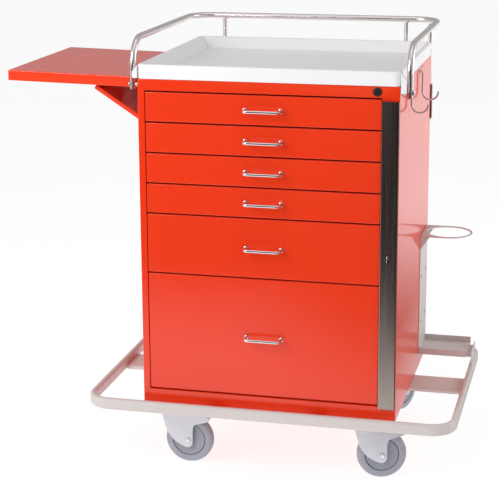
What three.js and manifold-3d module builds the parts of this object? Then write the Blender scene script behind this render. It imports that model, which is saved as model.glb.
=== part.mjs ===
// A hospital crash cart: a sheet-steel cabinet with six drawers on four swivel castors, with a breakaway
// lock bar, a drop-leaf side shelf, an oxygen-cylinder holder and a bumper all round.
// Millimetres, +Z up, the front faces -Y, and the origin is on the floor under the middle of the whole cart.
import * as THREE from "three";
import { mergeVertices } from "three/addons/utils/BufferGeometryUtils.js";
import Module from "manifold-3d";

const wasm = await Module();
wasm.setup();

// ---------------------------------------------------------------- driving dimensions
const GAP = 0.3; // clearance between two pieces that are fastened face to face
const SHEET = 1.5; // cabinet steel
const INCH = 25.4;

const CABINET_WIDTH = 644;
const CABINET_DEPTH = 572;
const CABINET_BOTTOM = 167; // above the floor
const BASE_RAIL = 43; // face under the lowest drawer
const TOP_RAIL = 30; // face over the highest drawer
const DRAWER_PITCHES = [12, 6, 3, 3, 3, 3].map((inches) => inches * INCH); // from the lowest up
const LEFT_STILE = 17;
const RIGHT_STILE = 42; // the lock bar lies over this one
const FRONT_GAP = 4; // between two drawer fronts
const FRONT_THICKNESS = 18;
const DRAWER_LENGTH = 500;

const TRAY_OVERHANG = 1;
const TRAY_HEIGHT = 35;
const TRAY_WALL = 3;

const HANDLE_HALF = 44.5; // from a handle's middle to its leg's centre
const HANDLE_SHIFT = 4.5; // of the handles from the opening's middle, as in the photo
const RAIL_RADIUS = 8;
const RAIL_HEIGHT = 1094; // tube centre above the floor
const RAIL_OUTBOARD = 19; // tube centre beyond the cabinet's side
const RAIL_BEND = 65;

const SHELF_LENGTH = 350.5; // from its hinged edge to its outer edge, as seen from above
const SHELF_WIDTH = 450;
const SHELF_TILT = 1.2; // degrees that the raised leaf's outer edge stands above level
const SHELF_LIP = 26;
const SHELF_TOP = 1000;
const SHELF_WALL = 2;

const BUMPER_OUTBOARD_SIDE = 150;
const BUMPER_OUTBOARD_END = 38;
const BUMPER_HEIGHT = 30;
const BUMPER_THICKNESS = 15;
const BUMPER_BOTTOM = 155;
const BUMPER_CORNER = 65;

const WHEEL_RADIUS = 62.5;
const WHEEL_WIDTH = 32;
const CASTOR_TRAIL = 33;
const CASTOR_INSET = { x: 73, y: 53 }; // kingpin from the cabinet's sides, and from its front and back
const CASTOR_TURNS = { // degrees the forks stand turned about their kingpins
  front_left: 0, front_right: 16, rear_left: 40, rear_right: 68,
};

// ---------------------------------------------------------------- places worked out from them
const HALF_WIDTH = CABINET_WIDTH / 2;
const FRONT = -CABINET_DEPTH / 2;
const BACK = CABINET_DEPTH / 2;
const OPENING_BOTTOM = CABINET_BOTTOM + BASE_RAIL;
const OPENING_TOP = OPENING_BOTTOM + DRAWER_PITCHES.reduce((sum, pitch) => sum + pitch, 0);
const CABINET_TOP = OPENING_TOP + TOP_RAIL;
const OPENING_LEFT = -HALF_WIDTH + LEFT_STILE;
const OPENING_RIGHT = HALF_WIDTH - RIGHT_STILE;
const OPENING_MIDDLE = (OPENING_LEFT + OPENING_RIGHT) / 2;
const OPENING_HALF = (OPENING_RIGHT - OPENING_LEFT) / 2;
const SHELF_INNER_END = -HALF_WIDTH - 2.5;
const SHELF_OUTER_END = SHELF_INNER_END - SHELF_LENGTH;
const BUMPER_SIDE = HALF_WIDTH + BUMPER_OUTBOARD_SIDE;
const MIDDLE_SHIFT = -(SHELF_OUTER_END + BUMPER_SIDE) / 2; // puts the origin under the cart's middle
const LOCK_X = 268;
const LOCK_Z = OPENING_TOP + 16.5;
const LOCK_BARREL = 9.5; // outer radius of the housing behind its flange
const LOCK_BORE = 7.3;

// ---------------------------------------------------------------- colours and finishes
const finish = (color, roughness, metalness) => new THREE.MeshStandardMaterial({ color, roughness, metalness });
const red = () => finish(0xe8421f, 0.3, 0.0);
const stainless = () => finish(0xc9c4c0, 0.25, 1.0);
const chrome = () => finish(0xe6e6e8, 0.12, 1.0);
const zinc = () => finish(0xbdbec7, 0.4, 0.9);
const whiteAbs = () => finish(0xf3f1f4, 0.4, 0.0);
const greyPaint = () => finish(0xd5cac7, 0.45, 0.0);
const greyRubber = () => finish(0xa3a4b0, 0.6, 0.0);
const darkMetal = () => finish(0x3a2f2c, 0.4, 0.8);

const cart = new THREE.Group();
cart.position.x = MIDDLE_SHIFT;

function add(name, geometry, material, parent = cart) {
  const mesh = new THREE.Mesh(geometry, material);
  mesh.name = name;
  parent.add(mesh);
  return mesh;
}

// ---------------------------------------------------------------- joining and cutting
function solid(geometry) {
  const bare = geometry.index ? geometry.toNonIndexed() : geometry.clone();
  bare.deleteAttribute("normal");
  bare.deleteAttribute("uv");
  const merged = mergeVertices(bare, 1e-4);
  return new wasm.Manifold(new wasm.Mesh({
    numProp: 3,
    vertProperties: new Float32Array(merged.attributes.position.array),
    triVerts: new Uint32Array(merged.index.array),
  }));
}

function geometryOf(manifold) {
  const mesh = manifold.getMesh();
  const geometry = new THREE.BufferGeometry();
  geometry.setAttribute("position", new THREE.BufferAttribute(new Float32Array(mesh.vertProperties), 3));
  geometry.setIndex(new THREE.BufferAttribute(new Uint32Array(mesh.triVerts), 1));
  geometry.computeVertexNormals();
  return geometry;
}

const join = (...geometries) => geometryOf(geometries.map(solid).reduce((a, b) => a.add(b)));
const cut = (body, ...tools) => geometryOf(tools.map(solid).reduce((a, b) => a.subtract(b), solid(body)));

// ---------------------------------------------------------------- shapes
// A box between two corners.
function box([x0, y0, z0], [x1, y1, z1]) {
  const geometry = new THREE.BoxGeometry(x1 - x0, y1 - y0, z1 - z0);
  return geometry.translate((x0 + x1) / 2, (y0 + y1) / 2, (z0 + z1) / 2);
}

// A round bar from one point, of a length along "x", "y" or "z".
function bar(axis, [x, y, z], length, radius, sides = 16) {
  const geometry = new THREE.CylinderGeometry(radius, radius, length, sides);
  if (axis === "x") geometry.rotateZ(-Math.PI / 2).translate(x + length / 2, y, z);
  if (axis === "y") geometry.translate(x, y + length / 2, z);
  if (axis === "z") geometry.rotateX(Math.PI / 2).translate(x, y, z + length / 2);
  return geometry;
}

// The outline of a sheet of one thickness folded along a line of corners, material on the left of the line.
function foldedOutline(corners, thickness) {
  const points = corners.map(([x, y]) => new THREE.Vector2(x, y));
  const inner = points.map((point, i) => {
    const before = points[Math.max(i - 1, 0)];
    const after = points[Math.min(i + 1, points.length - 1)];
    const into = (i === 0 ? after : point).clone().sub(i === 0 ? point : before).normalize();
    const out = (i === points.length - 1 ? into : after.clone().sub(point).normalize());
    const left = new THREE.Vector2(-into.y, into.x);
    const leftOut = new THREE.Vector2(-out.y, out.x);
    const mitre = left.clone().add(leftOut).normalize();
    return point.clone().addScaledVector(mitre, thickness / mitre.dot(left));
  });
  return new THREE.Shape([...points, ...inner.reverse()]);
}

// A folded sheet whose section lies in the XY plane, running up from one height to another.
function uprightFold(corners, thickness, bottom, top) {
  const geometry = new THREE.ExtrudeGeometry(foldedOutline(corners, thickness), {
    depth: top - bottom, bevelEnabled: false,
  });
  return geometry.translate(0, 0, bottom);
}

// A line of samples through corners, with each inner corner rounded to a radius.
function roundedLine(corners, radius, stepsPerBend = 6) {
  const points = corners.map((corner) => new THREE.Vector3(...corner));
  const line = [points[0]];
  for (let i = 1; i < points.length - 1; i += 1) {
    const into = points[i].clone().sub(points[i - 1]).normalize();
    const out = points[i + 1].clone().sub(points[i]).normalize();
    const turn = into.angleTo(out);
    const setback = radius * Math.tan(turn / 2);
    const start = points[i].clone().addScaledVector(into, -setback);
    const side = out.clone().addScaledVector(into, -out.dot(into)).normalize();
    const centre = start.clone().addScaledVector(side, radius);
    for (let k = 0; k <= stepsPerBend; k += 1) {
      const angle = (turn * k) / stepsPerBend;
      line.push(centre.clone()
        .addScaledVector(side, -radius * Math.cos(angle))
        .addScaledVector(into, radius * Math.sin(angle)));
    }
  }
  line.push(points[points.length - 1]);
  return line;
}

// A curve that an extrusion samples only at the points it is given.
class SampledPath extends THREE.Curve {
  constructor(points) {
    super();
    this.points = points;
  }

  getPointAt(u) {
    return this.points[Math.round(u * (this.points.length - 1))].clone();
  }

  getPoint(u) {
    return this.getPointAt(u);
  }

  getSpacedPoints() {
    return this.points.map((point) => point.clone());
  }

  getTangentAt(u) {
    const i = Math.round(u * (this.points.length - 1));
    const before = this.points[Math.max(i - 1, 0)];
    const after = this.points[Math.min(i + 1, this.points.length - 1)];
    return after.clone().sub(before).normalize();
  }
}

// A round rod or tube bent through corners. A full circle gets two sides for each curve segment.
function rod(corners, bend, radius, sides = 10, stepsPerBend = 6) {
  const path = new SampledPath(roundedLine(corners, bend, stepsPerBend));
  const section = new THREE.Shape();
  section.absarc(0, 0, radius, 0, Math.PI * 2);
  return new THREE.ExtrudeGeometry(section, {
    steps: path.points.length - 1, curveSegments: sides / 2, bevelEnabled: false, extrudePath: path,
  });
}

function roundedRectangle(halfX, halfY, radius) {
  const shape = new THREE.Shape();
  shape.moveTo(halfX, -halfY + radius);
  shape.absarc(halfX - radius, halfY - radius, radius, 0, Math.PI / 2);
  shape.absarc(-halfX + radius, halfY - radius, radius, Math.PI / 2, Math.PI);
  shape.absarc(-halfX + radius, -halfY + radius, radius, Math.PI, Math.PI * 1.5);
  shape.absarc(halfX - radius, -halfY + radius, radius, Math.PI * 1.5, Math.PI * 2);
  return shape;
}

// A tapered block, a rectangle at the bottom and a larger one at the top.
function taperedBlock(bottomHalf, topHalf, bottom, top) {
  const geometry = new THREE.BoxGeometry(2, 2, 2);
  const position = geometry.attributes.position;
  for (let i = 0; i < position.count; i += 1) {
    const upper = position.getZ(i) > 0;
    const half = upper ? topHalf : bottomHalf;
    position.setXYZ(i, position.getX(i) * half[0], position.getY(i) * half[1], upper ? top : bottom);
  }
  return geometry;
}

// ---------------------------------------------------------------- cabinet
function cabinet() {
  const flange = 20; // rear returns
  add("side_panel_left", uprightFold([
    [OPENING_LEFT, FRONT + SHEET], [-HALF_WIDTH + SHEET, FRONT + SHEET],
    [-HALF_WIDTH + SHEET, BACK - SHEET], [-HALF_WIDTH + flange, BACK - SHEET],
  ], SHEET, CABINET_BOTTOM, CABINET_TOP), red());
  add("side_panel_right", uprightFold([
    [OPENING_RIGHT, FRONT + SHEET], [HALF_WIDTH - SHEET, FRONT + SHEET],
    [HALF_WIDTH - SHEET, BACK - SHEET], [HALF_WIDTH - flange, BACK - SHEET],
  ], -SHEET, CABINET_BOTTOM, CABINET_TOP), red());

  const inside = HALF_WIDTH - SHEET - GAP;
  const plateFront = FRONT + SHEET + GAP;
  const plateBack = BACK - SHEET - GAP;
  const railLeft = OPENING_LEFT + GAP;
  const railRight = OPENING_RIGHT - GAP;
  const deck = join(
    box([-inside, plateFront, CABINET_TOP - SHEET], [inside, plateBack, CABINET_TOP]),
    box([railLeft, FRONT, CABINET_TOP - SHEET], [railRight, plateFront + 1, CABINET_TOP]),
    box([railLeft, FRONT, OPENING_TOP + FRONT_GAP / 2], [railRight, FRONT + SHEET, CABINET_TOP]),
  );
  const lockHole = bar("y", [LOCK_X, FRONT - 5, LOCK_Z], 10, LOCK_BARREL + GAP, 24);
  add("top_deck", cut(deck, lockHole), red());
  add("base_pan", join(
    box([-inside, plateFront, CABINET_BOTTOM], [inside, plateBack, CABINET_BOTTOM + SHEET]),
    box([railLeft, FRONT, CABINET_BOTTOM], [railRight, plateFront + 1, CABINET_BOTTOM + SHEET]),
    box([railLeft, FRONT, CABINET_BOTTOM], [railRight, FRONT + SHEET, OPENING_BOTTOM - FRONT_GAP / 2]),
  ), red());
  const backHalf = HALF_WIDTH - flange - GAP;
  add("back_panel", box([-backHalf, BACK - SHEET, CABINET_BOTTOM + SHEET + GAP],
    [backHalf, BACK, CABINET_TOP - SHEET - GAP]), red());
}

// ---------------------------------------------------------------- drawers and their slides
const SLIDE_DEPTH = 13.2; // channel, across the cart
const SLIDE_HEIGHT = 34;
const SLIDE_RISE = 38; // channel centre above the drawer's lower edge line
const BOX_HALF = OPENING_HALF - 15;
const drawerBottoms = DRAWER_PITCHES.map((_, i) => (
  OPENING_BOTTOM + DRAWER_PITCHES.slice(0, i).reduce((sum, pitch) => sum + pitch, 0)
));

// One channel, open towards the drawer, on the left of the opening; sign 1 is the right.
function slideChannel(sign, height) {
  const outer = OPENING_MIDDLE + sign * (OPENING_HALF - GAP);
  const inner = outer - sign * SLIDE_DEPTH;
  const [x0, x1] = [Math.min(outer, inner), Math.max(outer, inner)];
  const front = FRONT + FRONT_THICKNESS + 6;
  const rear = BACK - 31;
  const half = SLIDE_HEIGHT / 2;
  const [slot0, slot1] = sign < 0 ? [x0 + SHEET, x1 + 1] : [x0 - 1, x1 - SHEET];
  return cut(box([x0, front, height - half], [x1, rear, height + half]),
    box([slot0, front - 1, height - half + SHEET], [slot1, rear + 1, height + half - SHEET]));
}

function slideRack(side, sign) {
  const outer = sign * (HALF_WIDTH - SHEET - GAP);
  const inner = OPENING_MIDDLE + sign * (OPENING_HALF - GAP - SHEET / 2);
  const [x0, x1] = [Math.min(outer, inner), Math.max(outer, inner)];
  const uprights = [FRONT + FRONT_THICKNESS + 6, BACK - 61].map((y) => (
    box([x0, y, CABINET_BOTTOM + SHEET + 4], [x1, y + 30, CABINET_TOP - SHEET - 4])
  ));
  const channels = drawerBottoms.map((bottom) => slideChannel(sign, bottom + SLIDE_RISE));
  add(`slide_rack_${side}`, join(...uprights, ...channels), zinc());
}

function drawerFront(bottom, top) {
  const clear = FRONT_GAP / 2;
  const left = OPENING_LEFT + 2;
  const right = OPENING_RIGHT - 1.5;
  const rear = FRONT + FRONT_THICKNESS;
  return cut(
    box([left, FRONT, bottom + clear], [right, rear, top - clear]),
    box([left + SHEET, FRONT + SHEET, bottom + clear + SHEET], [right - SHEET, rear + 1, top - clear - SHEET]),
  );
}

// The box with its two inner slide members.
function drawerBox(bottom, top) {
  const front = FRONT + FRONT_THICKNESS + GAP;
  const rear = front + DRAWER_LENGTH;
  const floor = bottom + 8;
  const rim = top - 10;
  const walls = cut(
    box([OPENING_MIDDLE - BOX_HALF, front, floor], [OPENING_MIDDLE + BOX_HALF, rear, rim]),
    box([OPENING_MIDDLE - BOX_HALF + SHEET, front + SHEET, floor + SHEET],
      [OPENING_MIDDLE + BOX_HALF - SHEET, rear - SHEET, rim + 1]),
  );
  const half = SLIDE_HEIGHT / 2 - SHEET - 3;
  const height = bottom + SLIDE_RISE;
  const reach = OPENING_HALF - 3;
  const members = [-1, 1].map((sign) => {
    const xs = [sign * (BOX_HALF - SHEET / 2), sign * reach].sort((a, b) => a - b);
    return box([OPENING_MIDDLE + xs[0], front + 8, height - half], [OPENING_MIDDLE + xs[1], rear, height + half]);
  });
  return join(walls, ...members);
}

function drawerHandle(height) {
  const stand = 27;
  const middle = OPENING_MIDDLE + HANDLE_SHIFT;
  return rod([
    [middle - HANDLE_HALF, FRONT - GAP, height], [middle - HANDLE_HALF, FRONT - stand, height],
    [middle + HANDLE_HALF, FRONT - stand, height], [middle + HANDLE_HALF, FRONT - GAP, height],
  ], 9, 4, 10, 4);
}

function drawers() {
  slideRack("left", -1);
  slideRack("right", 1);
  DRAWER_PITCHES.forEach((pitch, i) => {
    const number = DRAWER_PITCHES.length - i; // drawer 1 is the highest
    const bottom = drawerBottoms[i];
    const top = bottom + pitch;
    add(`drawer_front_${number}`, drawerFront(bottom, top), red());
    add(`drawer_box_${number}`, drawerBox(bottom, top), zinc());
    add(`drawer_handle_${number}`, drawerHandle((bottom + top) / 2), chrome());
  });
}

// ---------------------------------------------------------------- key lock
function turned(profile, segments = 20) {
  return new THREE.LatheGeometry(profile.map(([r, y]) => new THREE.Vector2(r, y)), segments);
}

function keyLock() {
  const flange = 11;
  const front = FRONT - GAP - 2.5;
  const housing = turned([
    [LOCK_BORE, 0], [flange - 1, 0], [flange, 1], [flange, 2.5], [LOCK_BARREL, 2.5], [LOCK_BARREL, 22],
    [LOCK_BORE, 22], [LOCK_BORE, 0],
  ]).translate(LOCK_X, front, LOCK_Z);
  add("lock_housing", housing, darkMetal());
  const plug = bar("y", [LOCK_X, front + 0.6, LOCK_Z], 26, LOCK_BORE - GAP, 20);
  const keyway = box([LOCK_X - 1, front - 1, LOCK_Z - 4], [LOCK_X + 1, front + 6, LOCK_Z + 4]);
  const cam = box([LOCK_X - 16, front + 24, LOCK_Z - 4], [LOCK_X + 4, front + 26, LOCK_Z + 4]);
  add("lock_plug", join(cut(plug, keyway), cam), darkMetal());
}

// ---------------------------------------------------------------- breakaway lock bar
const BAR_PIN = { x: HALF_WIDTH - 3, y: FRONT - 4.6 };
const BAR_BOTTOM = OPENING_BOTTOM - 5;
const BAR_TOP = OPENING_TOP - 5;
const BAR_KNUCKLE = 3;
const SEAL = { x: HALF_WIDTH - 24, z: OPENING_BOTTOM + 376 };

function lockBar() {
  const outer = BAR_PIN.y - BAR_KNUCKLE;
  const inner = FRONT - 1;
  const edge = OPENING_RIGHT;
  const plate = box([edge, outer, BAR_BOTTOM], [BAR_PIN.x, outer + SHEET, BAR_TOP]);
  const lip = box([edge, outer, BAR_BOTTOM], [edge + SHEET, inner, BAR_TOP]);
  const ends = [BAR_BOTTOM, BAR_TOP - SHEET].map((z) => box([edge, outer, z], [edge + 28, inner - 1, z + SHEET]));
  const slot = box([SEAL.x - 5, outer - 1, SEAL.z - 12], [SEAL.x + 4, outer + SHEET + 1, SEAL.z + 12]);
  const segment = (BAR_TOP - BAR_BOTTOM) / 7;
  const knuckles = [0, 1, 2, 3, 4, 5, 6].map((i) => ({
    fixed: i % 2 === 1,
    from: BAR_BOTTOM + i * segment + (i ? 0.5 : 0),
    length: segment - (i ? 0.5 : 0) - (i < 6 ? 0.5 : 0),
  }));
  const barrel = ({ from, length }) => bar("z", [BAR_PIN.x, BAR_PIN.y, from], length, BAR_KNUCKLE, 12);
  const bore = bar("z", [BAR_PIN.x, BAR_PIN.y, BAR_BOTTOM - 1], BAR_TOP - BAR_BOTTOM + 2, 1.9, 12);
  const clearances = knuckles.filter((knuckle) => knuckle.fixed).map(({ from, length }) => (
    box([BAR_PIN.x - 4, outer - 1, from - 0.5], [BAR_PIN.x + 4, inner + 1, from + length + 0.5])
  ));
  const moving = knuckles.filter((knuckle) => !knuckle.fixed).map(barrel);
  add("lock_bar", cut(join(plate, lip, ...ends, ...moving), bore, slot, ...clearances), stainless());

  const leaf = box([BAR_PIN.x - 27, FRONT - 1.3, BAR_BOTTOM + 2], [BAR_PIN.x, FRONT - GAP, BAR_TOP - 2]);
  const fixed = knuckles.filter((knuckle) => knuckle.fixed).flatMap((knuckle) => [
    barrel(knuckle),
    box([BAR_PIN.x - 2, BAR_PIN.y, knuckle.from], [BAR_PIN.x + 1, FRONT - GAP, knuckle.from + knuckle.length]),
  ]);
  const pin = bar("z", [BAR_PIN.x, BAR_PIN.y, BAR_BOTTOM + 1], BAR_TOP - BAR_BOTTOM - 2, 1.6, 12);
  const room = box([SEAL.x - 5, FRONT - 3, SEAL.z - 12], [SEAL.x + 4, FRONT + 1, SEAL.z + 12]);
  add("lock_bar_hinge", cut(join(leaf, pin, ...fixed), room), stainless());

  const staple = rod([
    [SEAL.x, FRONT - GAP, SEAL.z - 7], [SEAL.x, FRONT - 14, SEAL.z - 7],
    [SEAL.x, FRONT - 14, SEAL.z + 7], [SEAL.x, FRONT - GAP, SEAL.z + 7],
  ], 3, 1.5, 8, 3);
  const foot = box([SEAL.x - 3, FRONT - 1.3, SEAL.z - 10], [SEAL.x + 3, FRONT - GAP, SEAL.z + 10]);
  add("seal_staple", join(staple, foot), stainless());
}

// ---------------------------------------------------------------- top tray and guard rail
// A boss on the tray's side in front of the rail's leg. Its foot may hang down beside the cabinet.
function trayBoss(sign, low) {
  const wall = HALF_WIDTH + TRAY_OVERHANG;
  const outer = wall + 12.5;
  const seat = CABINET_TOP + 2;
  const top = CABINET_TOP + TRAY_HEIGHT - 3;
  const outline = [
    [wall - 2, top], [wall - 2, seat], [wall + 0.3, seat], [wall + 0.3, low], [outer, low], [outer, top - 16],
  ].map(([x, z]) => new THREE.Vector2(sign * x, z));
  const length = 18;
  return new THREE.ExtrudeGeometry(new THREE.Shape(outline), { depth: length, bevelEnabled: false })
    .rotateX(Math.PI / 2)
    .translate(0, FRONT + 1 + length, 0);
}

function topTray() {
  const halfX = HALF_WIDTH + TRAY_OVERHANG;
  const halfY = CABINET_DEPTH / 2 + TRAY_OVERHANG;
  const rim = 10;
  const slope = 22;
  const bottom = CABINET_TOP + GAP;
  const top = bottom + TRAY_HEIGHT;
  const floor = bottom + 6;
  const outside = taperedBlock([halfX, halfY], [halfX, halfY], bottom, top);
  // The recess and the hollow under it are both stretched past the faces they open through.
  const stretch = (1 / (top - floor)) * slope;
  const recess = (extra, low) => taperedBlock(
    [halfX - rim - slope + extra, halfY - rim - slope + extra],
    [halfX - rim + extra + stretch, halfY - rim + extra + stretch],
    low, top + 1,
  );
  const hollow = cut(
    taperedBlock([halfX - TRAY_WALL, halfY - TRAY_WALL], [halfX - TRAY_WALL, halfY - TRAY_WALL],
      bottom - 1, top - TRAY_WALL),
    recess(TRAY_WALL, floor - TRAY_WALL),
  );
  const shell = cut(outside, recess(0, floor), hollow);
  add("top_tray", join(shell, trayBoss(-1, bottom + 0.5), trayBoss(1, CABINET_TOP - 18)), whiteAbs());
}

function guardRail() {
  const x = HALF_WIDTH + RAIL_OUTBOARD;
  const y = BACK + 12;
  const legY = FRONT + 28;
  const foot = CABINET_TOP - TOP_RAIL;
  const tube = rod([
    [-x, legY, foot], [-x, legY, RAIL_HEIGHT], [-x, y, RAIL_HEIGHT],
    [x, y, RAIL_HEIGHT], [x, legY, RAIL_HEIGHT], [x, legY, foot],
  ], RAIL_BEND, RAIL_RADIUS, 12, 6);
  const boltHeight = foot + 12;
  const spacers = [-1, 1].map((sign) => (
    bar("x", [sign < 0 ? -x : HALF_WIDTH + GAP, legY, boltHeight], RAIL_OUTBOARD - GAP, 5, 10)
  ));
  const posts = [-1, 1].flatMap((sign) => [
    bar("z", [sign * (HALF_WIDTH - 70), y, foot], RAIL_HEIGHT - foot, RAIL_RADIUS - 1, 12),
    bar("y", [sign * (HALF_WIDTH - 70), BACK + GAP, boltHeight], y - BACK - GAP, 5, 10),
  ]);
  add("guard_rail", join(tube, ...spacers, ...posts), stainless());
}

// ---------------------------------------------------------------- post behind the rear right corner
function cornerPost() {
  const x = HALF_WIDTH - 5.5;
  const y = BACK + 14;
  const bottom = CABINET_TOP - 182;
  add("corner_post", bar("z", [x, y, bottom], RAIL_HEIGHT - 12 - bottom, 6, 14), stainless());
  const low = bottom + 8;
  const clip = uprightFold([
    [x - 43, BACK + GAP + 2], [x - 8, BACK + GAP + 2], [x - 8, y + 8.5],
    [x + 8, y + 8.5], [x + 8, BACK + GAP],
  ], -1.8, low, low + 92);
  add("corner_post_bracket", clip, darkMetal());
}

// ---------------------------------------------------------------- drop-leaf side shelf
const SHELF_PIN = { x: -HALF_WIDTH - 5.4, z: SHELF_TOP - SHELF_LIP - 4 };
const SUPPORT_PIN = { x: -HALF_WIDTH - 8, z: SHELF_TOP - 110 };
const SHELF_FRONT = FRONT + 40;
const SUPPORT_REACH = 145;
const SUPPORT_RISE = 33; // degrees above level when the shelf is up
const SUPPORT_THICKNESS = 10;
const SUPPORT_INSET = 20; // of the support's ends from the leaf's front and back
const LEAF_KNUCKLE = 3.5;
const HINGE_BORE = 1.9;
const HINGE_PIN = 1.6;
const KNUCKLE_LENGTH = 55;
const SHELF_KNUCKLES = [-205, -140, -35, 25, 125]; // front ends, alternately on the side and on the leaf
const FIXED_KNUCKLES = SHELF_KNUCKLES.filter((_, i) => i % 2 === 0);
const MOVING_KNUCKLES = SHELF_KNUCKLES.filter((_, i) => i % 2 === 1);

function hingeKnuckles(pin, starts) {
  return starts.map((y) => bar("y", [pin.x, y, pin.z], KNUCKLE_LENGTH, LEAF_KNUCKLE, 12));
}

function hingeOnSide(name, pin, height) {
  const face = -HALF_WIDTH - GAP;
  const from = SHELF_KNUCKLES[0];
  const to = SHELF_KNUCKLES[SHELF_KNUCKLES.length - 1] + KNUCKLE_LENGTH;
  const leaf = box([face - 1.2, from, pin.z - height], [face, to, pin.z - 1]);
  const webs = FIXED_KNUCKLES.map((y) => box([pin.x, y, pin.z - 2.5], [face, y + KNUCKLE_LENGTH, pin.z - 1]));
  const rodPin = bar("y", [pin.x, from, pin.z], to - from, HINGE_PIN, 10);
  add(name, join(leaf, rodPin, ...webs, ...hingeKnuckles(pin, FIXED_KNUCKLES)), zinc());
}

// The leaf and its support are each made level about their own pin at 0, 0 and then turned up.
function turnedUp(pin, degrees) {
  const holder = new THREE.Group();
  holder.position.set(pin.x, 0, pin.z);
  holder.rotation.y = THREE.MathUtils.degToRad(degrees);
  cart.add(holder);
  return holder;
}

function sideShelf() {
  const tilt = THREE.MathUtils.degToRad(SHELF_TILT);
  const back = SHELF_FRONT + SHELF_WIDTH;
  const bottom = SHELF_TOP - SHELF_LIP - SHELF_PIN.z;
  const top = bottom + SHELF_LIP;
  const inner = SHELF_INNER_END - SHELF_PIN.x;
  // The lip's lower corner is what reaches furthest once the leaf is turned up.
  const outer = (SHELF_OUTER_END - SHELF_PIN.x - bottom * Math.sin(tilt)) / Math.cos(tilt);
  const pan = cut(
    box([outer, SHELF_FRONT, bottom], [inner, back, top]),
    box([outer + SHELF_WALL, SHELF_FRONT + SHELF_WALL, bottom - 1],
      [inner - SHELF_WALL, back - SHELF_WALL, top - SHELF_WALL]),
  );
  const tabs = MOVING_KNUCKLES.map((y) => box([-1.5, y, 0], [1.5, y + KNUCKLE_LENGTH, bottom + 4]));
  const webs = MOVING_KNUCKLES.map((y) => box([-1.5, y, bottom + 1], [inner - 0.5, y + KNUCKLE_LENGTH, bottom + 4]));
  const pivot = { x: 0, z: 0 };
  const knuckles = hingeKnuckles(pivot, MOVING_KNUCKLES);
  const bore = bar("y", [0, SHELF_FRONT, 0], SHELF_WIDTH, HINGE_BORE, 10);
  const leaf = cut(join(pan, ...tabs, ...webs, ...knuckles), bore);
  add("side_shelf", leaf, red(), turnedUp(SHELF_PIN, SHELF_TILT));
  hingeOnSide("shelf_hinge", SHELF_PIN, 30);
  hingeOnSide("support_hinge", SUPPORT_PIN, 26);

  const front = SHELF_FRONT + SUPPORT_INSET;
  const rear = back - SUPPORT_INSET;
  const half = SUPPORT_THICKNESS / 2;
  const flap = cut(
    box([-SUPPORT_REACH, front, -half], [-6, rear, half]),
    box([-SUPPORT_REACH + SHEET, front + SHEET, -half + SHEET], [-6 - SHEET, rear - SHEET, half + 1]),
  );
  const arms = MOVING_KNUCKLES.map((y) => box([-7, y, -1.5], [-1, y + KNUCKLE_LENGTH, 1.5]));
  const hole = bar("y", [0, front, 0], rear - front, HINGE_BORE, 10);
  const support = cut(join(flap, ...arms, ...hingeKnuckles(pivot, MOVING_KNUCKLES)), hole);
  add("shelf_support", support, red(), turnedUp(SUPPORT_PIN, SUPPORT_RISE));
}

// ---------------------------------------------------------------- hooks on the right side
// The crook's wide bend and the top's tight one have different radii, so the rod is two lines joined.
function hooks() {
  [["hook_front", FRONT + 150], ["hook_rear", FRONT + 350]].forEach(([name, y]) => {
    const wire = 2.5;
    const crook = 20;
    const stand = HALF_WIDTH + 7;
    const low = 914 + wire;
    const high = CABINET_TOP - 12;
    const hanger = rod([[HALF_WIDTH + GAP, y, high], [stand, y, high], [stand, y, low + crook]], 4, wire, 8, 3);
    const bend = rod([
      [stand, y, low + crook + 3], [stand, y, low], [stand + crook, y, low],
      [stand + 2 * crook, y, low], [stand + 2 * crook, y, low + crook],
    ], crook - 0.1, wire, 8, 5);
    const pad = bar("x", [HALF_WIDTH + GAP, y, high], 2, 6, 12);
    add(name, join(hanger, bend, pad), zinc());
  });
}

// ---------------------------------------------------------------- oxygen-cylinder holder
const TANK = { x: HALF_WIDTH + 68, y: FRONT + 480, width: 128, hole: 57.5, ring: 535, floor: 208 };

function tankHolder() {
  const wall = HALF_WIDTH + GAP;
  const half = TANK.width / 2;
  const plate = 3;
  const outline = new THREE.Shape();
  outline.moveTo(wall, TANK.y - half);
  outline.lineTo(TANK.x, TANK.y - half);
  outline.absarc(TANK.x, TANK.y, half, -Math.PI / 2, Math.PI / 2);
  outline.lineTo(wall, TANK.y + half);
  const hole = new THREE.Path();
  hole.absarc(TANK.x, TANK.y, TANK.hole, 0, Math.PI * 2, true);
  outline.holes.push(hole);
  const ring = new THREE.ExtrudeGeometry(outline, { depth: plate, bevelEnabled: false, curveSegments: 16 })
    .translate(0, 0, TANK.ring);
  const upright = box([wall, TANK.y - half, TANK.floor], [wall + 2, TANK.y + half, TANK.ring + plate]);
  add("tank_ring", join(ring, upright), greyPaint());

  // The seat starts beside the upright, so that nothing hangs over its floor.
  const near = wall + 2 + GAP;
  const end = BUMPER_SIDE - 7;
  const rimTop = TANK.floor + 18;
  const flanges = [TANK.y - half, TANK.y + half - 2].map((y) => (
    box([near, y, TANK.floor], [end - 14, y + 2, rimTop])
  ));
  const floor = box([near, TANK.y - half, TANK.floor], [end, TANK.y + half, TANK.floor + 2]);
  const turnedDown = box([end - 2, TANK.y - half + 14, BUMPER_BOTTOM + BUMPER_HEIGHT + GAP],
    [end, TANK.y + half - 14, TANK.floor + 2]);
  const upturn = box([end - 2, TANK.y - half + 14, TANK.floor], [end, TANK.y + half - 14, TANK.floor + 12]);
  add("tank_base", join(floor, ...flanges, turnedDown, upturn), greyPaint());
}

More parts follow.
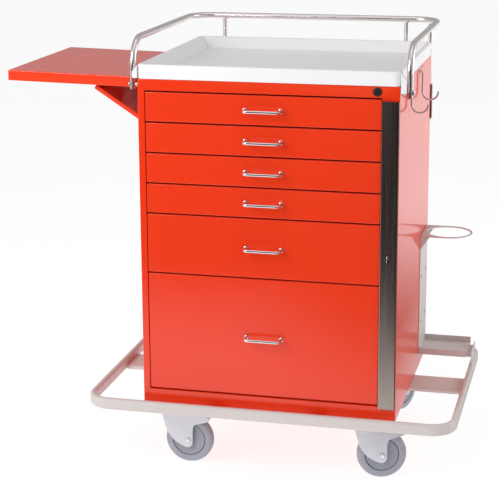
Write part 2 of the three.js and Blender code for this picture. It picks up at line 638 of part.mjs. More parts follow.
// ---------------------------------------------------------------- bumper and its cross plate
function bumper() {
  const halfY = CABINET_DEPTH / 2 + BUMPER_OUTBOARD_END;
  const bevel = 5;
  const outline = roundedRectangle(BUMPER_SIDE - bevel, halfY - bevel, BUMPER_CORNER - bevel);
  const inset = BUMPER_THICKNESS - bevel;
  outline.holes.push(new THREE.Path(
    roundedRectangle(BUMPER_SIDE - inset, halfY - inset, BUMPER_CORNER - inset).getPoints(4).reverse(),
  ));
  const loop = new THREE.ExtrudeGeometry(outline, {
    depth: BUMPER_HEIGHT - 2 * bevel, curveSegments: 4, bevelEnabled: true,
    bevelThickness: bevel, bevelSize: bevel, bevelSegments: 2,
  }).translate(0, 0, BUMPER_BOTTOM + bevel);
  const tabTop = CABINET_BOTTOM - GAP;
  const tabs = [-1, 1].flatMap((end) => [-130, 130].map((x) => {
    const ys = [end * (halfY - BUMPER_THICKNESS / 2), end * (halfY - 80)].sort((a, b) => a - b);
    return box([x - 20, ys[0], tabTop - 3], [x + 20, ys[1], tabTop]);
  }));
  add("bumper_loop", join(loop, ...tabs), greyPaint());

  const reach = BUMPER_SIDE - BUMPER_THICKNESS - GAP;
  const near = FRONT + 268;
  const far = near + 100;
  const plate = box([-reach, near, tabTop - 3], [reach, far, tabTop]);
  const flanges = [near, far - 3].map((y) => box([-reach, y, tabTop - 10], [reach, y + 3, tabTop]));
  add("cross_plate", join(plate, ...flanges), greyPaint());
}

// ---------------------------------------------------------------- castors
function castorFork() {
  const axle = new THREE.Vector2(CASTOR_TRAIL, WHEEL_RADIUS);
  const crown = 40;
  const outline = [
    [-70, 84], [-68, 62], [-57, 24], [-38, -2], [-20, -14], [-4, -19], [8, -15], [13, -5], [13, 40],
    [56, 54], [56, 66], [6, 84],
  ].map(([x, z]) => new THREE.Vector2(axle.x + x, axle.y + z));
  const inner = WHEEL_WIDTH / 2 + 2.5;
  const leg = (y) => new THREE.ExtrudeGeometry(new THREE.Shape(outline), { depth: 3, bevelEnabled: false })
    .rotateX(Math.PI / 2).translate(0, y + 3, 0);
  const top = WHEEL_RADIUS + 88;
  const head = bar("z", [0, 0, top - 8], 8, crown, 28);
  const bridge = box([-36, -inner - 3, top - 8], [axle.x + 6, inner + 3, top - 4]);
  const bore = bar("y", [axle.x, -40, axle.y], 80, 5.3, 14);
  return cut(join(head, bridge, leg(-inner - 3), leg(inner)), bore);
}

function castorWheel() {
  const half = WHEEL_WIDTH / 2;
  const r = WHEEL_RADIUS;
  return turned([
    [5.4, -half], [14, -half], [14, -half + 4], [41, -half + 4], [41, -half + 2], [r - 6, -half + 2],
    [r, -half + 9], [r, half - 9], [r - 6, half - 2], [41, half - 2], [41, half - 4],
    [14, half - 4], [14, half], [5.4, half], [5.4, -half],
  ], 28);
}

function castorAxle() {
  const half = WHEEL_WIDTH / 2 + 5.8;
  return join(
    bar("y", [0, -half - 4, 0], 2 * half + 8, 5, 12),
    bar("y", [0, -half - 4, 0], 4, 8, 6),
    bar("y", [0, half, 0], 4, 8, 6),
  );
}

function castors() {
  const top = CABINET_BOTTOM - GAP;
  const race = WHEEL_RADIUS + 88 + GAP;
  [["front", -1], ["rear", 1]].forEach(([end, endSign]) => {
    [["left", -1], ["right", 1]].forEach(([side, sideSign]) => {
      const place = `${end}_${side}`;
      const x = sideSign * (HALF_WIDTH - CASTOR_INSET.x);
      const y = endSign * (CABINET_DEPTH / 2 - CASTOR_INSET.y);
      const plate = join(
        box([x - 46, y - 38, top - 3], [x + 46, y + 38, top]),
        bar("z", [x, y, race], top - race, 28, 24),
      );
      add(`castor_plate_${place}`, plate, zinc());
      const castor = new THREE.Group();
      castor.position.set(x, y, 0);
      castor.rotation.z = THREE.MathUtils.degToRad(CASTOR_TURNS[place]);
      cart.add(castor);
      add(`castor_fork_${place}`, castorFork(), zinc(), castor);
      add(`castor_wheel_${place}`, castorWheel(), greyRubber(), castor).position.set(CASTOR_TRAIL, 0, WHEEL_RADIUS);
      add(`castor_axle_${place}`, castorAxle(), chrome(), castor).position.set(CASTOR_TRAIL, 0, WHEEL_RADIUS);
    });
  });
}

cabinet();
drawers();
keyLock();
lockBar();
topTray();
guardRail();
cornerPost();
sideShelf();
hooks();
tankHolder();
bumper();
castors();

export default cart;
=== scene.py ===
import math

import bmesh
import bpy
from mathutils import Matrix, Vector


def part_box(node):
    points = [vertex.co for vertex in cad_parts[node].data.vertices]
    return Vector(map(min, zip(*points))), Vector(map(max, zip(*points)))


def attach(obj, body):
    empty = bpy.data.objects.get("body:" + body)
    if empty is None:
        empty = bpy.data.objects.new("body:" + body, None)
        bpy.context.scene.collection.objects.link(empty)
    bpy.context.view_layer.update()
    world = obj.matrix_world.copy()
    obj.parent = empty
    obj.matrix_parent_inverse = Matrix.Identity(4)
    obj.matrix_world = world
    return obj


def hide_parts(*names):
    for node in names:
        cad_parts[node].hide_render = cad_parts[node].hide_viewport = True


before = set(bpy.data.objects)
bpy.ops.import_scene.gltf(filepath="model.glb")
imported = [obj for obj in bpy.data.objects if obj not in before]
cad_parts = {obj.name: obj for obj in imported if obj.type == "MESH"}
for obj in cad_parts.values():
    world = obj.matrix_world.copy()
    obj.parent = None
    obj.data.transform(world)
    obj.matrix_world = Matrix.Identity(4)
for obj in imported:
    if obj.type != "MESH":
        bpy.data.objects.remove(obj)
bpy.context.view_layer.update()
print("frame loaded")

# Lengths are in millimetres in the cart's own frame, and become metres when a mesh is made.
# The stage, the lights and the camera are in metres.
metre = 0.001
smoothAngle = 38  # degrees; a sharper edge than this keeps its crease


def cad(node):
    low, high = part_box(node)
    return low / metre, high / metre


def centreOf(low, high):
    return [(a + b) / 2 for a, b in zip(low, high)]


# ---- short calls for Blender's own data

def newObject(name, data):
    made = bpy.data.objects.new(name, data)
    bpy.context.scene.collection.objects.link(made)
    return made


def newMesh(name, points, faces=()):
    mesh = bpy.data.meshes.new(name)
    mesh.from_pydata(points, [], faces)
    return mesh


def inMetres(points):
    return [tuple(Vector(p) * metre) for p in points]


def finalMesh(holder):
    return bpy.data.meshes.new_from_object(holder.evaluated_get(bpy.context.evaluated_depsgraph_get()))


def addNode(tree, kind, inputs=None, **settings):
    # an input is linked when its value is a socket, and set when it is anything else
    made = tree.nodes.new(kind)
    for key, value in settings.items():
        setattr(made, key, value)
    for key, value in (inputs or {}).items():
        feed(tree, value, made.inputs[key])
    return made


def feed(tree, value, socket):
    if isinstance(value, bpy.types.NodeSocket):
        tree.links.new(value, socket)
    else:
        socket.default_value = value


# ---- small mesh makers: each gives a list of points and a list of faces

def rectRing(x0, x1, y0, y1, radius, steps=4):
    # points of a rectangle with round corners, counter-clockwise
    radius = max(min(radius, (x1 - x0) / 2 - 0.01, (y1 - y0) / 2 - 0.01), 0.01)
    corners = [(x1 - radius, y1 - radius, 0), (x0 + radius, y1 - radius, 90),
               (x0 + radius, y0 + radius, 180), (x1 - radius, y0 + radius, 270)]
    points = []
    for cx, cy, start in corners:
        for k in range(steps + 1):
            angle = math.radians(start + 90 * k / steps)
            points.append((cx + radius * math.cos(angle), cy + radius * math.sin(angle)))
    return points


def loft(rings, closed=False, capStart=True, capEnd=True):
    # skins rings of equal length, given as lists of 3-D points
    points = [Vector(p) for ring in rings for p in ring]
    count = len(rings[0])
    faces = []
    pairs = len(rings) if closed else len(rings) - 1
    for i in range(pairs):
        a, b = i * count, ((i + 1) % len(rings)) * count
        for k in range(count):
            n = (k + 1) % count
            faces.append((a + k, a + n, b + n, b + k))
    if not closed and capStart:
        faces.append(tuple(range(count - 1, -1, -1)))
    if not closed and capEnd:
        faces.append(tuple(range((len(rings) - 1) * count, len(rings) * count)))
    return points, faces


def place(points2d, axis, level):
    # lays a flat ring across an axis: x gives (y, z), y gives (x, z), z gives (x, y)
    if axis == "x":
        return [(level, a, b) for a, b in points2d]
    if axis == "y":
        return [(a, level, b) for a, b in points2d]
    return [(a, b, level) for a, b in points2d]


def pan(axis, rect, steps, cornerRadius=3.0):
    # a pressed pan: steps are (inset, level) pairs from the middle of one face round to the other
    x0, x1, y0, y1 = rect
    rings = []
    for inset, level in steps:
        ring = rectRing(x0 + inset, x1 - inset, y0 + inset, y1 - inset, max(cornerRadius - inset, 0.4))
        rings.append(place(ring, axis, level))
    return loft(rings)


def roundOver(inset, level, radius, fromAngle, toAngle, count=4):
    # (inset, level) pairs along an arc about a centre, for use in a pan's steps
    pairs = []
    for k in range(count + 1):
        angle = math.radians(fromAngle + (toAngle - fromAngle) * k / count)
        pairs.append((inset + radius * math.cos(angle), level + radius * math.sin(angle)))
    return pairs


def block(low, high, edge=0.5):
    # a box with softened edges
    (x0, y0, z0), (x1, y1, z1) = low, high
    edge = min(edge, (x1 - x0) / 2.2, (y1 - y0) / 2.2, (z1 - z0) / 2.2)
    steps = [(edge, z0), (edge * 0.3, z0 + edge * 0.3), (0, z0 + edge)]
    steps += [(0, z1 - edge), (edge * 0.3, z1 - edge * 0.3), (edge, z1)]
    rings = []
    for inset, level in steps:
        ring = rectRing(x0 + inset, x1 - inset, y0 + inset, y1 - inset, edge, 2)
        rings.append(place(ring, "z", level))
    return loft(rings)


def bentLine(corners, radius, steps=8):
    # a line through corners, each inner corner rounded
    points = [Vector(c) for c in corners]
    line = [points[0]]
    for i in range(1, len(points) - 1):
        into = (points[i] - points[i - 1]).normalized()
        out = (points[i + 1] - points[i]).normalized()
        turn = into.angle(out)
        start = points[i] - into * radius * math.tan(turn / 2)
        side = (out - into * out.dot(into)).normalized()
        centre = start + side * radius
        for k in range(steps + 1):
            angle = turn * k / steps
            line.append(centre - side * radius * math.cos(angle) + into * radius * math.sin(angle))
    line.append(points[-1])
    return line


def sweep(line, section, closed=False, up=None):
    # carries a flat section along a line; the section's first number lies sideways, its second along "up"
    rings = []
    count = len(line)
    normal = None
    for i, point in enumerate(line):
        if closed:
            tangent = (line[(i + 1) % count] - line[i - 1]).normalized()
        else:
            tangent = (line[min(i + 1, count - 1)] - line[max(i - 1, 0)]).normalized()
        if up is not None:
            normal = Vector(up)
        elif normal is None:
            normal = tangent.orthogonal().normalized()
        normal = (normal - tangent * normal.dot(tangent)).normalized()
        side = tangent.cross(normal)
        rings.append([tuple(point + side * a + normal * b) for a, b in section])
    return loft(rings, closed)


def circle(radius, count=16):
    return [(radius * math.cos(2 * math.pi * k / count), radius * math.sin(2 * math.pi * k / count))
            for k in range(count)]


def tube(corners, bend, radius, sides=20, steps=8):
    return sweep(bentLine(corners, bend, steps), circle(radius, sides))


def turned(profile, origin, axis, segments=48):
    # a turned shape: profile gives (radius, distance along the axis), from axis to axis or closed on itself
    axis = Vector(axis).normalized()
    first = axis.orthogonal().normalized()
    second = axis.cross(first)
    origin = Vector(origin)
    endsOnAxis = profile[0][0] < 1e-6
    inner = profile[1:-1] if endsOnAxis else profile
    rings = []
    for radius, along in inner:
        rings.append([tuple(origin + axis * along + (first * math.cos(2 * math.pi * k / segments)
                      + second * math.sin(2 * math.pi * k / segments)) * radius) for k in range(segments)])
    return loft(rings, closed=not endsOnAxis)


def foldedSheet(corners, radius, thickness, start, end, axis, steps=4):
    # a sheet folded along corners of a plane across the axis, with the material on the left of the line
    line = bentLine([(a, b, 0) for a, b in corners], radius, steps)
    left = []
    for i, point in enumerate(line):
        tangent = (line[min(i + 1, len(line) - 1)] - line[max(i - 1, 0)]).normalized()
        left.append(point + Vector((-tangent.y, tangent.x, 0)) * thickness)
    outline = [(p.x, p.y) for p in line] + [(p.x, p.y) for p in reversed(left)]
    return loft([place(outline, axis, start), place(outline, axis, end)])


def plate(outline, holes, thickness, edge=0.4, sides=2):
    # a flat plate with holes, from z = 0 to its thickness, made as a filled curve with a rounded edge
    curve = bpy.data.curves.new("outline", "CURVE")
    curve.dimensions = "2D"
    curve.fill_mode = "BOTH"
    curve.extrude = thickness / 2 - edge
    curve.bevel_depth = edge
    curve.bevel_resolution = sides
    curve.offset = -edge
    for loop in [outline] + holes:
        spline = curve.splines.new("POLY")
        spline.points.add(len(loop) - 1)
        for point, (x, y) in zip(spline.points, loop):
            point.co = (x, y, 0, 1)
        spline.use_cyclic_u = True
    holder = newObject("outline", curve)
    mesh = finalMesh(holder)
    points = [v.co + Vector((0, 0, thickness / 2)) for v in mesh.vertices]
    faces = [tuple(f.vertices) for f in mesh.polygons]
    bpy.data.objects.remove(holder)
    bpy.data.curves.remove(curve)
    bpy.data.meshes.remove(mesh)
    return points, faces


def moved(shape, matrix):
    points, faces = shape
    return [matrix @ Vector(p) for p in points], faces


def arc(cx, cy, radius, start, end, count):
    angles = [math.radians(start + (end - start) * k / count) for k in range(count + 1)]
    return [(cx + radius * math.cos(angle), cy + radius * math.sin(angle)) for angle in angles]


def makePiece(name, parts, body, stands=()):
    # parts are (shape, material) pairs; the mesh's faces are turned outwards part by part
    points, faces, indexes, materials = [], [], [], []
    for (partPoints, partFaces), material in parts:
        if material not in materials:
            materials.append(material)
        offset = len(points)
        points += inMetres(partPoints)
        faces += [tuple(offset + k for k in face) for face in partFaces]
        indexes += [materials.index(material)] * len(partFaces)
    mesh = newMesh(name, points, faces)
    for material in materials:
        mesh.materials.append(material)
    mesh.polygons.foreach_set("material_index", indexes)
    tidyMesh(mesh)
    piece = newObject(name, mesh)
    # large flat faces keep their own normal, so they mirror without a gradient
    level = piece.modifiers.new("levelNormals", "WEIGHTED_NORMAL")
    level.mode = "FACE_AREA"
    level.keep_sharp = True
    settle(piece, body, stands)
    return piece


def tidyMesh(mesh):
    edit = bmesh.new()
    edit.from_mesh(mesh)
    bmesh.ops.remove_doubles(edit, verts=edit.verts, dist=1e-6)
    bmesh.ops.recalc_face_normals(edit, faces=edit.faces)
    edit.to_mesh(mesh)
    edit.free()
    mesh.polygons.foreach_set("use_smooth", [True] * len(mesh.polygons))
    mesh.set_sharp_from_angle(angle=math.radians(smoothAngle))
    mesh.update()


def settle(piece, body, stands=()):
    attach(piece, body)
    if stands:
        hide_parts(*stands)


def plateRound(x, z, halfWidth, halfHeight):
    return rectRing(x - halfWidth, x + halfWidth, z - halfHeight, z + halfHeight, halfWidth, 6)


def cutHole(piece, outline, start, end):
    # cuts a straight hole along Y through a finished piece
    points, faces = loft([place(outline, "y", start), place(outline, "y", end)])
    mesh = newMesh("cutter", inMetres(points), faces)
    tidyMesh(mesh)
    cutter = newObject("cutter", mesh)
    modifier = piece.modifiers.new("hole", "BOOLEAN")
    modifier.operation = "DIFFERENCE"
    modifier.object = cutter
    modifier.solver = "EXACT"
    bpy.context.view_layer.update()
    result = finalMesh(piece)
    piece.modifiers.remove(modifier)
    piece.data = result
    result.set_sharp_from_angle(angle=math.radians(smoothAngle))
    bpy.data.objects.remove(cutter)


# ---- materials

class Finish:
    # one procedural material, with short calls for the nodes that it is made of

    def __init__(self, name):
        self.material = bpy.data.materials.new(name)
        self.material.use_nodes = True
        self.tree = self.material.node_tree
        self.shader = self.tree.nodes["Principled BSDF"]
        self.coordinates = self.tree.nodes.new("ShaderNodeTexCoord").outputs["Object"]

    def node(self, kind, inputs=None, **settings):
        return addNode(self.tree, kind, inputs, **settings)

    def set(self, **values):
        for key, value in values.items():
            self.shader.inputs[key.replace("_", " ")].default_value = value

    def noise(self, scale, detail=2.0, stretch=None, roughness=0.5):
        vector = self.coordinates
        if stretch:
            vector = self.node("ShaderNodeMapping", {"Vector": vector, "Scale": stretch}).outputs["Vector"]
        made = self.node("ShaderNodeTexNoise", {"Vector": vector, "Scale": scale, "Detail": detail,
                                                "Roughness": roughness})
        return made.outputs["Fac"]

    def spread(self, value, low, high, fromLow=0.3, fromHigh=0.7):
        return self.node("ShaderNodeMapRange", {"Value": value, "From Min": fromLow, "From Max": fromHigh,
                                                "To Min": low, "To Max": high}).outputs["Result"]

    def mixed(self, factor, first, second):
        made = self.node("ShaderNodeMix", data_type="RGBA")
        for index, value in ((0, factor), (6, first), (7, second)):  # the colour sockets of a Mix node
            feed(self.tree, value, made.inputs[index])
        return made.outputs[2]

    def blend(self, pattern, first, second, low=0.0, high=1.0):
        return self.mixed(self.spread(pattern, low, high), first, second)

    def link(self, value, socket):
        self.tree.links.new(value, self.shader.inputs[socket])

    def bump(self, height, strength, distance, under=None):
        inputs = {"Height": height, "Strength": strength, "Distance": distance}
        if under is not None:
            inputs["Normal"] = under
        return self.node("ShaderNodeBump", inputs).outputs["Normal"]

    def edges(self, low, high):
        # brighter on outer edges, where a finish wears first
        made = self.node("ShaderNodeNewGeometry").outputs["Pointiness"]
        return self.spread(made, 0.0, 1.0, low, high)


def paint(name, colour, deeper, roughness, coat, peel, wear):
    finish = Finish(name)
    cloud = finish.noise(2.2, 3.0)
    shade = finish.blend(cloud, deeper, colour)
    specks = finish.noise(1400.0, 1.0)
    shade = finish.mixed(finish.spread(specks, 0.0, 0.10, 0.35, 0.7), shade, deeper)
    edge = finish.edges(0.52, 0.58)
    worn = finish.node("ShaderNodeMath", {0: edge, 1: 0.35}, operation="MULTIPLY").outputs[0]
    finish.link(finish.mixed(worn, shade, wear), "Base Color")
    scuffs = finish.noise(38.0, 6.0, roughness=0.7)
    finish.link(finish.spread(scuffs, roughness * 0.93, roughness * 1.1), "Roughness")
    finish.set(Coat_Weight=coat, Coat_Roughness=0.02, Coat_IOR=1.75, Specular_IOR_Level=0.12)
    fine = finish.bump(finish.noise(520.0, 2.0), peel, 0.00025)
    broad = finish.bump(finish.noise(24.0, 1.0), peel * 0.35, 0.0012, fine)
    finish.link(broad, "Normal")
    # the clear coat is levelled: it keeps only a trace of the broad waviness
    level = finish.bump(finish.noise(5.0, 1.0), peel * 0.1, 0.0012)
    finish.tree.links.new(level, finish.shader.inputs["Coat Normal"])
    return finish.material


def brushed(name, colour, roughness, stretch, strength=0.12, metal=1.0, anisotropy=0.0):
    finish = Finish(name)
    grain = finish.noise(90.0, 4.0, stretch)
    cloud = finish.noise(9.0, 3.0)
    darker = tuple(c * 0.86 for c in colour[:3]) + (1.0,)
    tone = finish.blend(grain, colour, darker, 0.0, 0.6)
    finish.link(finish.blend(cloud, tone, darker, 0.0, 0.35), "Base Color")
    finish.link(finish.spread(grain, roughness * 0.75, roughness * 1.35), "Roughness")
    finish.set(Metallic=metal, Anisotropic=anisotropy)
    finish.link(finish.bump(grain, strength, 0.00012), "Normal")
    return finish.material


def chromePlate():
    finish = Finish("chromePlate")
    smear = finish.noise(30.0, 5.0, roughness=0.65)
    finish.link(finish.spread(smear, 0.04, 0.11), "Roughness")
    finish.link(finish.blend(smear, (0.86, 0.86, 0.88, 1), (0.78, 0.78, 0.80, 1)), "Base Color")
    finish.set(Metallic=1.0)
    return finish.material


def zincPlate():
    finish = Finish("zincPlate")
    cloud = finish.noise(14.0, 4.0)
    finish.link(finish.blend(cloud, (0.66, 0.665, 0.71, 1), (0.74, 0.745, 0.79, 1)), "Base Color")
    finish.link(finish.spread(finish.noise(60.0, 4.0), 0.30, 0.44), "Roughness")
    finish.set(Metallic=0.55)
    finish.link(finish.bump(finish.noise(300.0, 2.0), 0.06, 0.0002), "Normal")
    return finish.material


def mouldedPlastic(name, colour, deeper, roughness, grainScale, strength):
    finish = Finish(name)
    cloud = finish.noise(5.0, 3.0)
    finish.link(finish.blend(cloud, colour, deeper), "Base Color")
    grain = finish.noise(grainScale, 3.0)
    finish.link(finish.spread(grain, roughness * 0.85, roughness * 1.2), "Roughness")
    finish.link(finish.bump(grain, strength, 0.0002), "Normal")
    finish.set(Specular_IOR_Level=0.45)
    return finish.material


def softRubber():
    finish = Finish("greyRubber")
    dust = finish.noise(45.0, 6.0, roughness=0.7)
    finish.link(finish.blend(dust, (0.335, 0.34, 0.40, 1), (0.41, 0.41, 0.46, 1)), "Base Color")
    finish.link(finish.spread(dust, 0.55, 0.75), "Roughness")
    finish.link(finish.bump(finish.noise(700.0, 2.0), 0.15, 0.0002), "Normal")
    return finish.material


redPaint = paint("redEnamel", (0.86, 0.038, 0.0035, 1), (0.82, 0.034, 0.003, 1), 0.34, 0.62, 0.012,
                 (0.90, 0.13, 0.06, 1))
greyPaint = paint("greyEnamel", (0.69, 0.635, 0.62, 1), (0.64, 0.59, 0.57, 1), 0.42, 0.15, 0.10,
                  (0.74, 0.69, 0.66, 1))
darkSteel = brushed("darkSteel", (0.10, 0.085, 0.08, 1), 0.35, (1, 1, 1), 0.1, 0.8)
stainlessUp = brushed("stainlessUp", (0.50, 0.42, 0.39, 1), 0.25, (1, 1, 0.02), 0.08, 1.0, 0.35)
stainlessTube = brushed("stainlessTube", (0.86, 0.80, 0.785, 1), 0.27, (0.3, 0.3, 0.3), 0.015)
chrome = chromePlate()
zinc = zincPlate()
whiteAbs = mouldedPlastic("whiteAbs", (0.90, 0.89, 0.91, 1), (0.87, 0.86, 0.885, 1), 0.36, 900.0, 0.10)
wheelPlastic = mouldedPlastic("wheelPlastic", (0.335, 0.35, 0.40, 1), (0.30, 0.315, 0.365, 1), 0.45, 500.0,
                              0.08)
rubber = softRubber()
# near black: the real black of the rail's leg plugs, and painted shade in the screws' cross recesses, the
# lock's keyway and the groove between each wheel's tyre and hub
blackAndPaintedShade = mouldedPlastic("blackPlasticAndPaintedShade", (0.012, 0.011, 0.011, 1), (0.02, 0.018, 0.018, 1), 0.6, 300.0, 0.05)
print("materials made")


# ---- repeated things made by Geometry Nodes

def socketId(tree, name):
    return next(item.identifier for item in tree.interface.items_tree
                if item.item_type == "SOCKET" and item.in_out == "INPUT" and item.name == name)


def newTree(name, inputs):
    tree = bpy.data.node_groups.new(name, "GeometryNodeTree")
    tree.interface.new_socket(name="Geometry", in_out="INPUT", socket_type="NodeSocketGeometry")
    for label, kind, value in inputs:
        socket = tree.interface.new_socket(name=label, in_out="INPUT", socket_type=kind)
        if value is not None:
            socket.default_value = value
    tree.interface.new_socket(name="Geometry", in_out="OUTPUT", socket_type="NodeSocketGeometry")
    start = tree.nodes.new("NodeGroupInput")
    end = tree.nodes.new("NodeGroupOutput")

    def add(kind, inputs=None, **settings):
        return addNode(tree, kind, inputs, **settings)

    return tree, start, end, add


def screwTree():
    # a pan head with a cross recess on every point, and a washer under it; the recess is a thin cross in
    # painted shade laid just over the dome
    tree, start, end, add = newTree("panHeadScrews", [
        ("Head radius", "NodeSocketFloat", 0.004), ("Head height", "NodeSocketFloat", 0.0022),
        ("Rotation", "NodeSocketVector", None), ("Head finish", "NodeSocketMaterial", None),
        ("Recess painted shade", "NodeSocketMaterial", None)])
    radius, height = start.outputs["Head radius"], start.outputs["Head height"]
    sides = 24

    def times(value, factor):
        return add("ShaderNodeMath", {0: value, 1: factor}, operation="MULTIPLY").outputs[0]

    def lifted(geometry, level):
        offset = add("ShaderNodeCombineXYZ", {"Z": level}).outputs[0]
        return add("GeometryNodeTransform", {"Geometry": geometry, "Translation": offset}).outputs[0]

    def coloured(geometry, finish):
        painted = add("GeometryNodeSetMaterial", {"Geometry": geometry, "Material": start.outputs[finish]})
        return painted.outputs[0]

    def cone(topRadius, baseRadius, depth):
        return add("GeometryNodeMeshCone", {"Vertices": sides, "Radius Top": topRadius,
                                            "Radius Bottom": baseRadius, "Depth": depth}).outputs["Mesh"]

    washer = add("GeometryNodeMeshCylinder", {"Vertices": sides, "Radius": times(radius, 1.35),
                                              "Depth": times(height, 0.36)}).outputs["Mesh"]
    low = cone(times(radius, 0.93), radius, times(height, 0.6))
    dome = cone(times(radius, 0.62), times(radius, 0.93), times(height, 0.3))
    head = add("GeometryNodeJoinGeometry")
    for geometry, level in ((washer, 0.18), (low, 0.36), (dome, 0.96)):
        tree.links.new(lifted(geometry, times(height, level)), head.inputs[0])
    # the cross sits just above the dome as a flat mark; its near-black finish is painted shade for the recess
    recess = add("GeometryNodeJoinGeometry")
    long, short, deep = times(radius, 0.9), times(radius, 0.22), times(height, 0.1)
    for x, y in ((long, short), (short, long)):
        size = add("ShaderNodeCombineXYZ", {"X": x, "Y": y, "Z": deep}).outputs[0]
        cube = add("GeometryNodeMeshCube", {"Size": size}).outputs["Mesh"]
        tree.links.new(lifted(cube, times(height, 1.25)), recess.inputs[0])
    both = add("GeometryNodeJoinGeometry")
    tree.links.new(coloured(head.outputs[0], "Head finish"), both.inputs[0])
    tree.links.new(coloured(recess.outputs[0], "Recess painted shade"), both.inputs[0])
    spread = add("GeometryNodeInstanceOnPoints", {"Points": start.outputs["Geometry"],
                                                  "Instance": both.outputs[0],
                                                  "Rotation": start.outputs["Rotation"]})
    solid = add("GeometryNodeRealizeInstances", {"Geometry": spread.outputs[0]})
    # the head finish is given to any face that has none yet, so the tree ends in Set Material
    index = add("GeometryNodeInputMaterialIndex").outputs[0]
    none = add("FunctionNodeCompare", {2: index, 3: -1}, data_type="INT", operation="EQUAL").outputs[0]
    last = add("GeometryNodeSetMaterial", {"Geometry": solid.outputs[0], "Selection": none,
                                           "Material": start.outputs["Head finish"]})
    tree.links.new(last.outputs[0], end.inputs[0])
    return tree


def knuckleTree():
    # hinge knuckles in a row from each point, alternate ones left for the other leaf
    tree, start, end, add = newTree("hingeKnuckles", [
        ("Radius", "NodeSocketFloat", 0.003), ("Length", "NodeSocketFloat", 0.02),
        ("Pitch", "NodeSocketVector", None), ("Count", "NodeSocketInt", 8),
        ("Rotation", "NodeSocketVector", None), ("Finish", "NodeSocketMaterial", None)])
    barrel = add("GeometryNodeMeshCylinder", {"Vertices": 20, "Radius": start.outputs["Radius"],
                                              "Depth": start.outputs["Length"]}).outputs["Mesh"]
    row = add("GeometryNodeMeshLine", {"Count": start.outputs["Count"], "Offset": start.outputs["Pitch"]},
              mode="OFFSET").outputs["Mesh"]
    rows = add("GeometryNodeInstanceOnPoints", {"Points": start.outputs["Geometry"], "Instance": row})
    points = add("GeometryNodeRealizeInstances", {"Geometry": rows.outputs[0]}).outputs[0]
    spread = add("GeometryNodeInstanceOnPoints", {"Points": points, "Instance": barrel,
                                                  "Rotation": start.outputs["Rotation"]})
    solid = add("GeometryNodeRealizeInstances", {"Geometry": spread.outputs[0]})
    last = add("GeometryNodeSetMaterial", {"Geometry": solid.outputs[0], "Material": start.outputs["Finish"]})
    tree.links.new(last.outputs[0], end.inputs[0])
    return tree


def grown(name, tree, points, settings):
    # runs a tree on a few points and gives the plain mesh that it makes, in metres
    seed = newObject(name + "Points", newMesh(name + "Points", inMetres(points)))
    modifier = seed.modifiers.new("grow", "NODES")
    modifier.node_group = tree
    for label, value in settings.items():
        modifier[socketId(tree, label)] = value
    result = finalMesh(seed)
    seed.modifiers.remove(modifier)
    bpy.data.objects.remove(seed)
    return result


facing = {  # turns a head that points along +Z
    "+x": (0, math.pi / 2, 0), "-x": (0, -math.pi / 2, 0), "+y": (-math.pi / 2, 0, 0),
    "-y": (math.pi / 2, 0, 0), "+z": (0, 0, 0), "-z": (math.pi, 0, 0),
}
screws = screwTree()
knuckles = knuckleTree()


def joinMeshes(name, meshes, body, creaseAngle=30):
    edit = bmesh.new()
    materials = []
    for mesh in meshes:
        before = len(edit.faces)
        edit.from_mesh(mesh)
        edit.faces.ensure_lookup_table()
        own = list(mesh.materials)
        for material in own:
            if material not in materials:
                materials.append(material)
        for face in edit.faces[before:]:
            face.material_index = materials.index(own[face.material_index])
    whole = bpy.data.meshes.new(name)
    edit.to_mesh(whole)
    edit.free()
    for material in materials:
        whole.materials.append(material)
    whole.polygons.foreach_set("use_smooth", [True] * len(whole.polygons))
    whole.set_sharp_from_angle(angle=math.radians(creaseAngle))
    settle(newObject(name, whole), body)


def screwSet(name, groups, finish=zinc):
    # groups are (points, direction, head radius) triples; all screws sit on the cabinet's body
    meshes = []
    for k, (points, direction, radius) in enumerate(groups):
        meshes.append(grown(f"{name}{k}", screws, points, {
            "Head radius": radius * metre, "Head height": radius * 0.55 * metre,
            "Rotation": facing[direction], "Head finish": finish, "Recess painted shade": blackAndPaintedShade}))
    joinMeshes(name, meshes, "cabinet")


def knuckleRow(name, start, body, radius, length, pitch, count, turn, finish):
    mesh = grown(name, knuckles, [start], {
        "Radius": radius * metre, "Length": length * metre, "Pitch": pitch, "Count": count, "Rotation": turn,
        "Finish": finish})
    joinMeshes(name, [mesh], body)


# ---- the cabinet's places, read from the frame
panelLow, panelHigh = cad("side_panel_left")
otherLow, otherHigh = cad("side_panel_right")
deckLow, panHigh = cad("top_deck")[0], cad("base_pan")[1]
front, back = panelLow.y, panelHigh.y
left, right = panelLow.x, otherHigh.x
bottom, top = panelLow.z, panelHigh.z
middle = (left + right) / 2


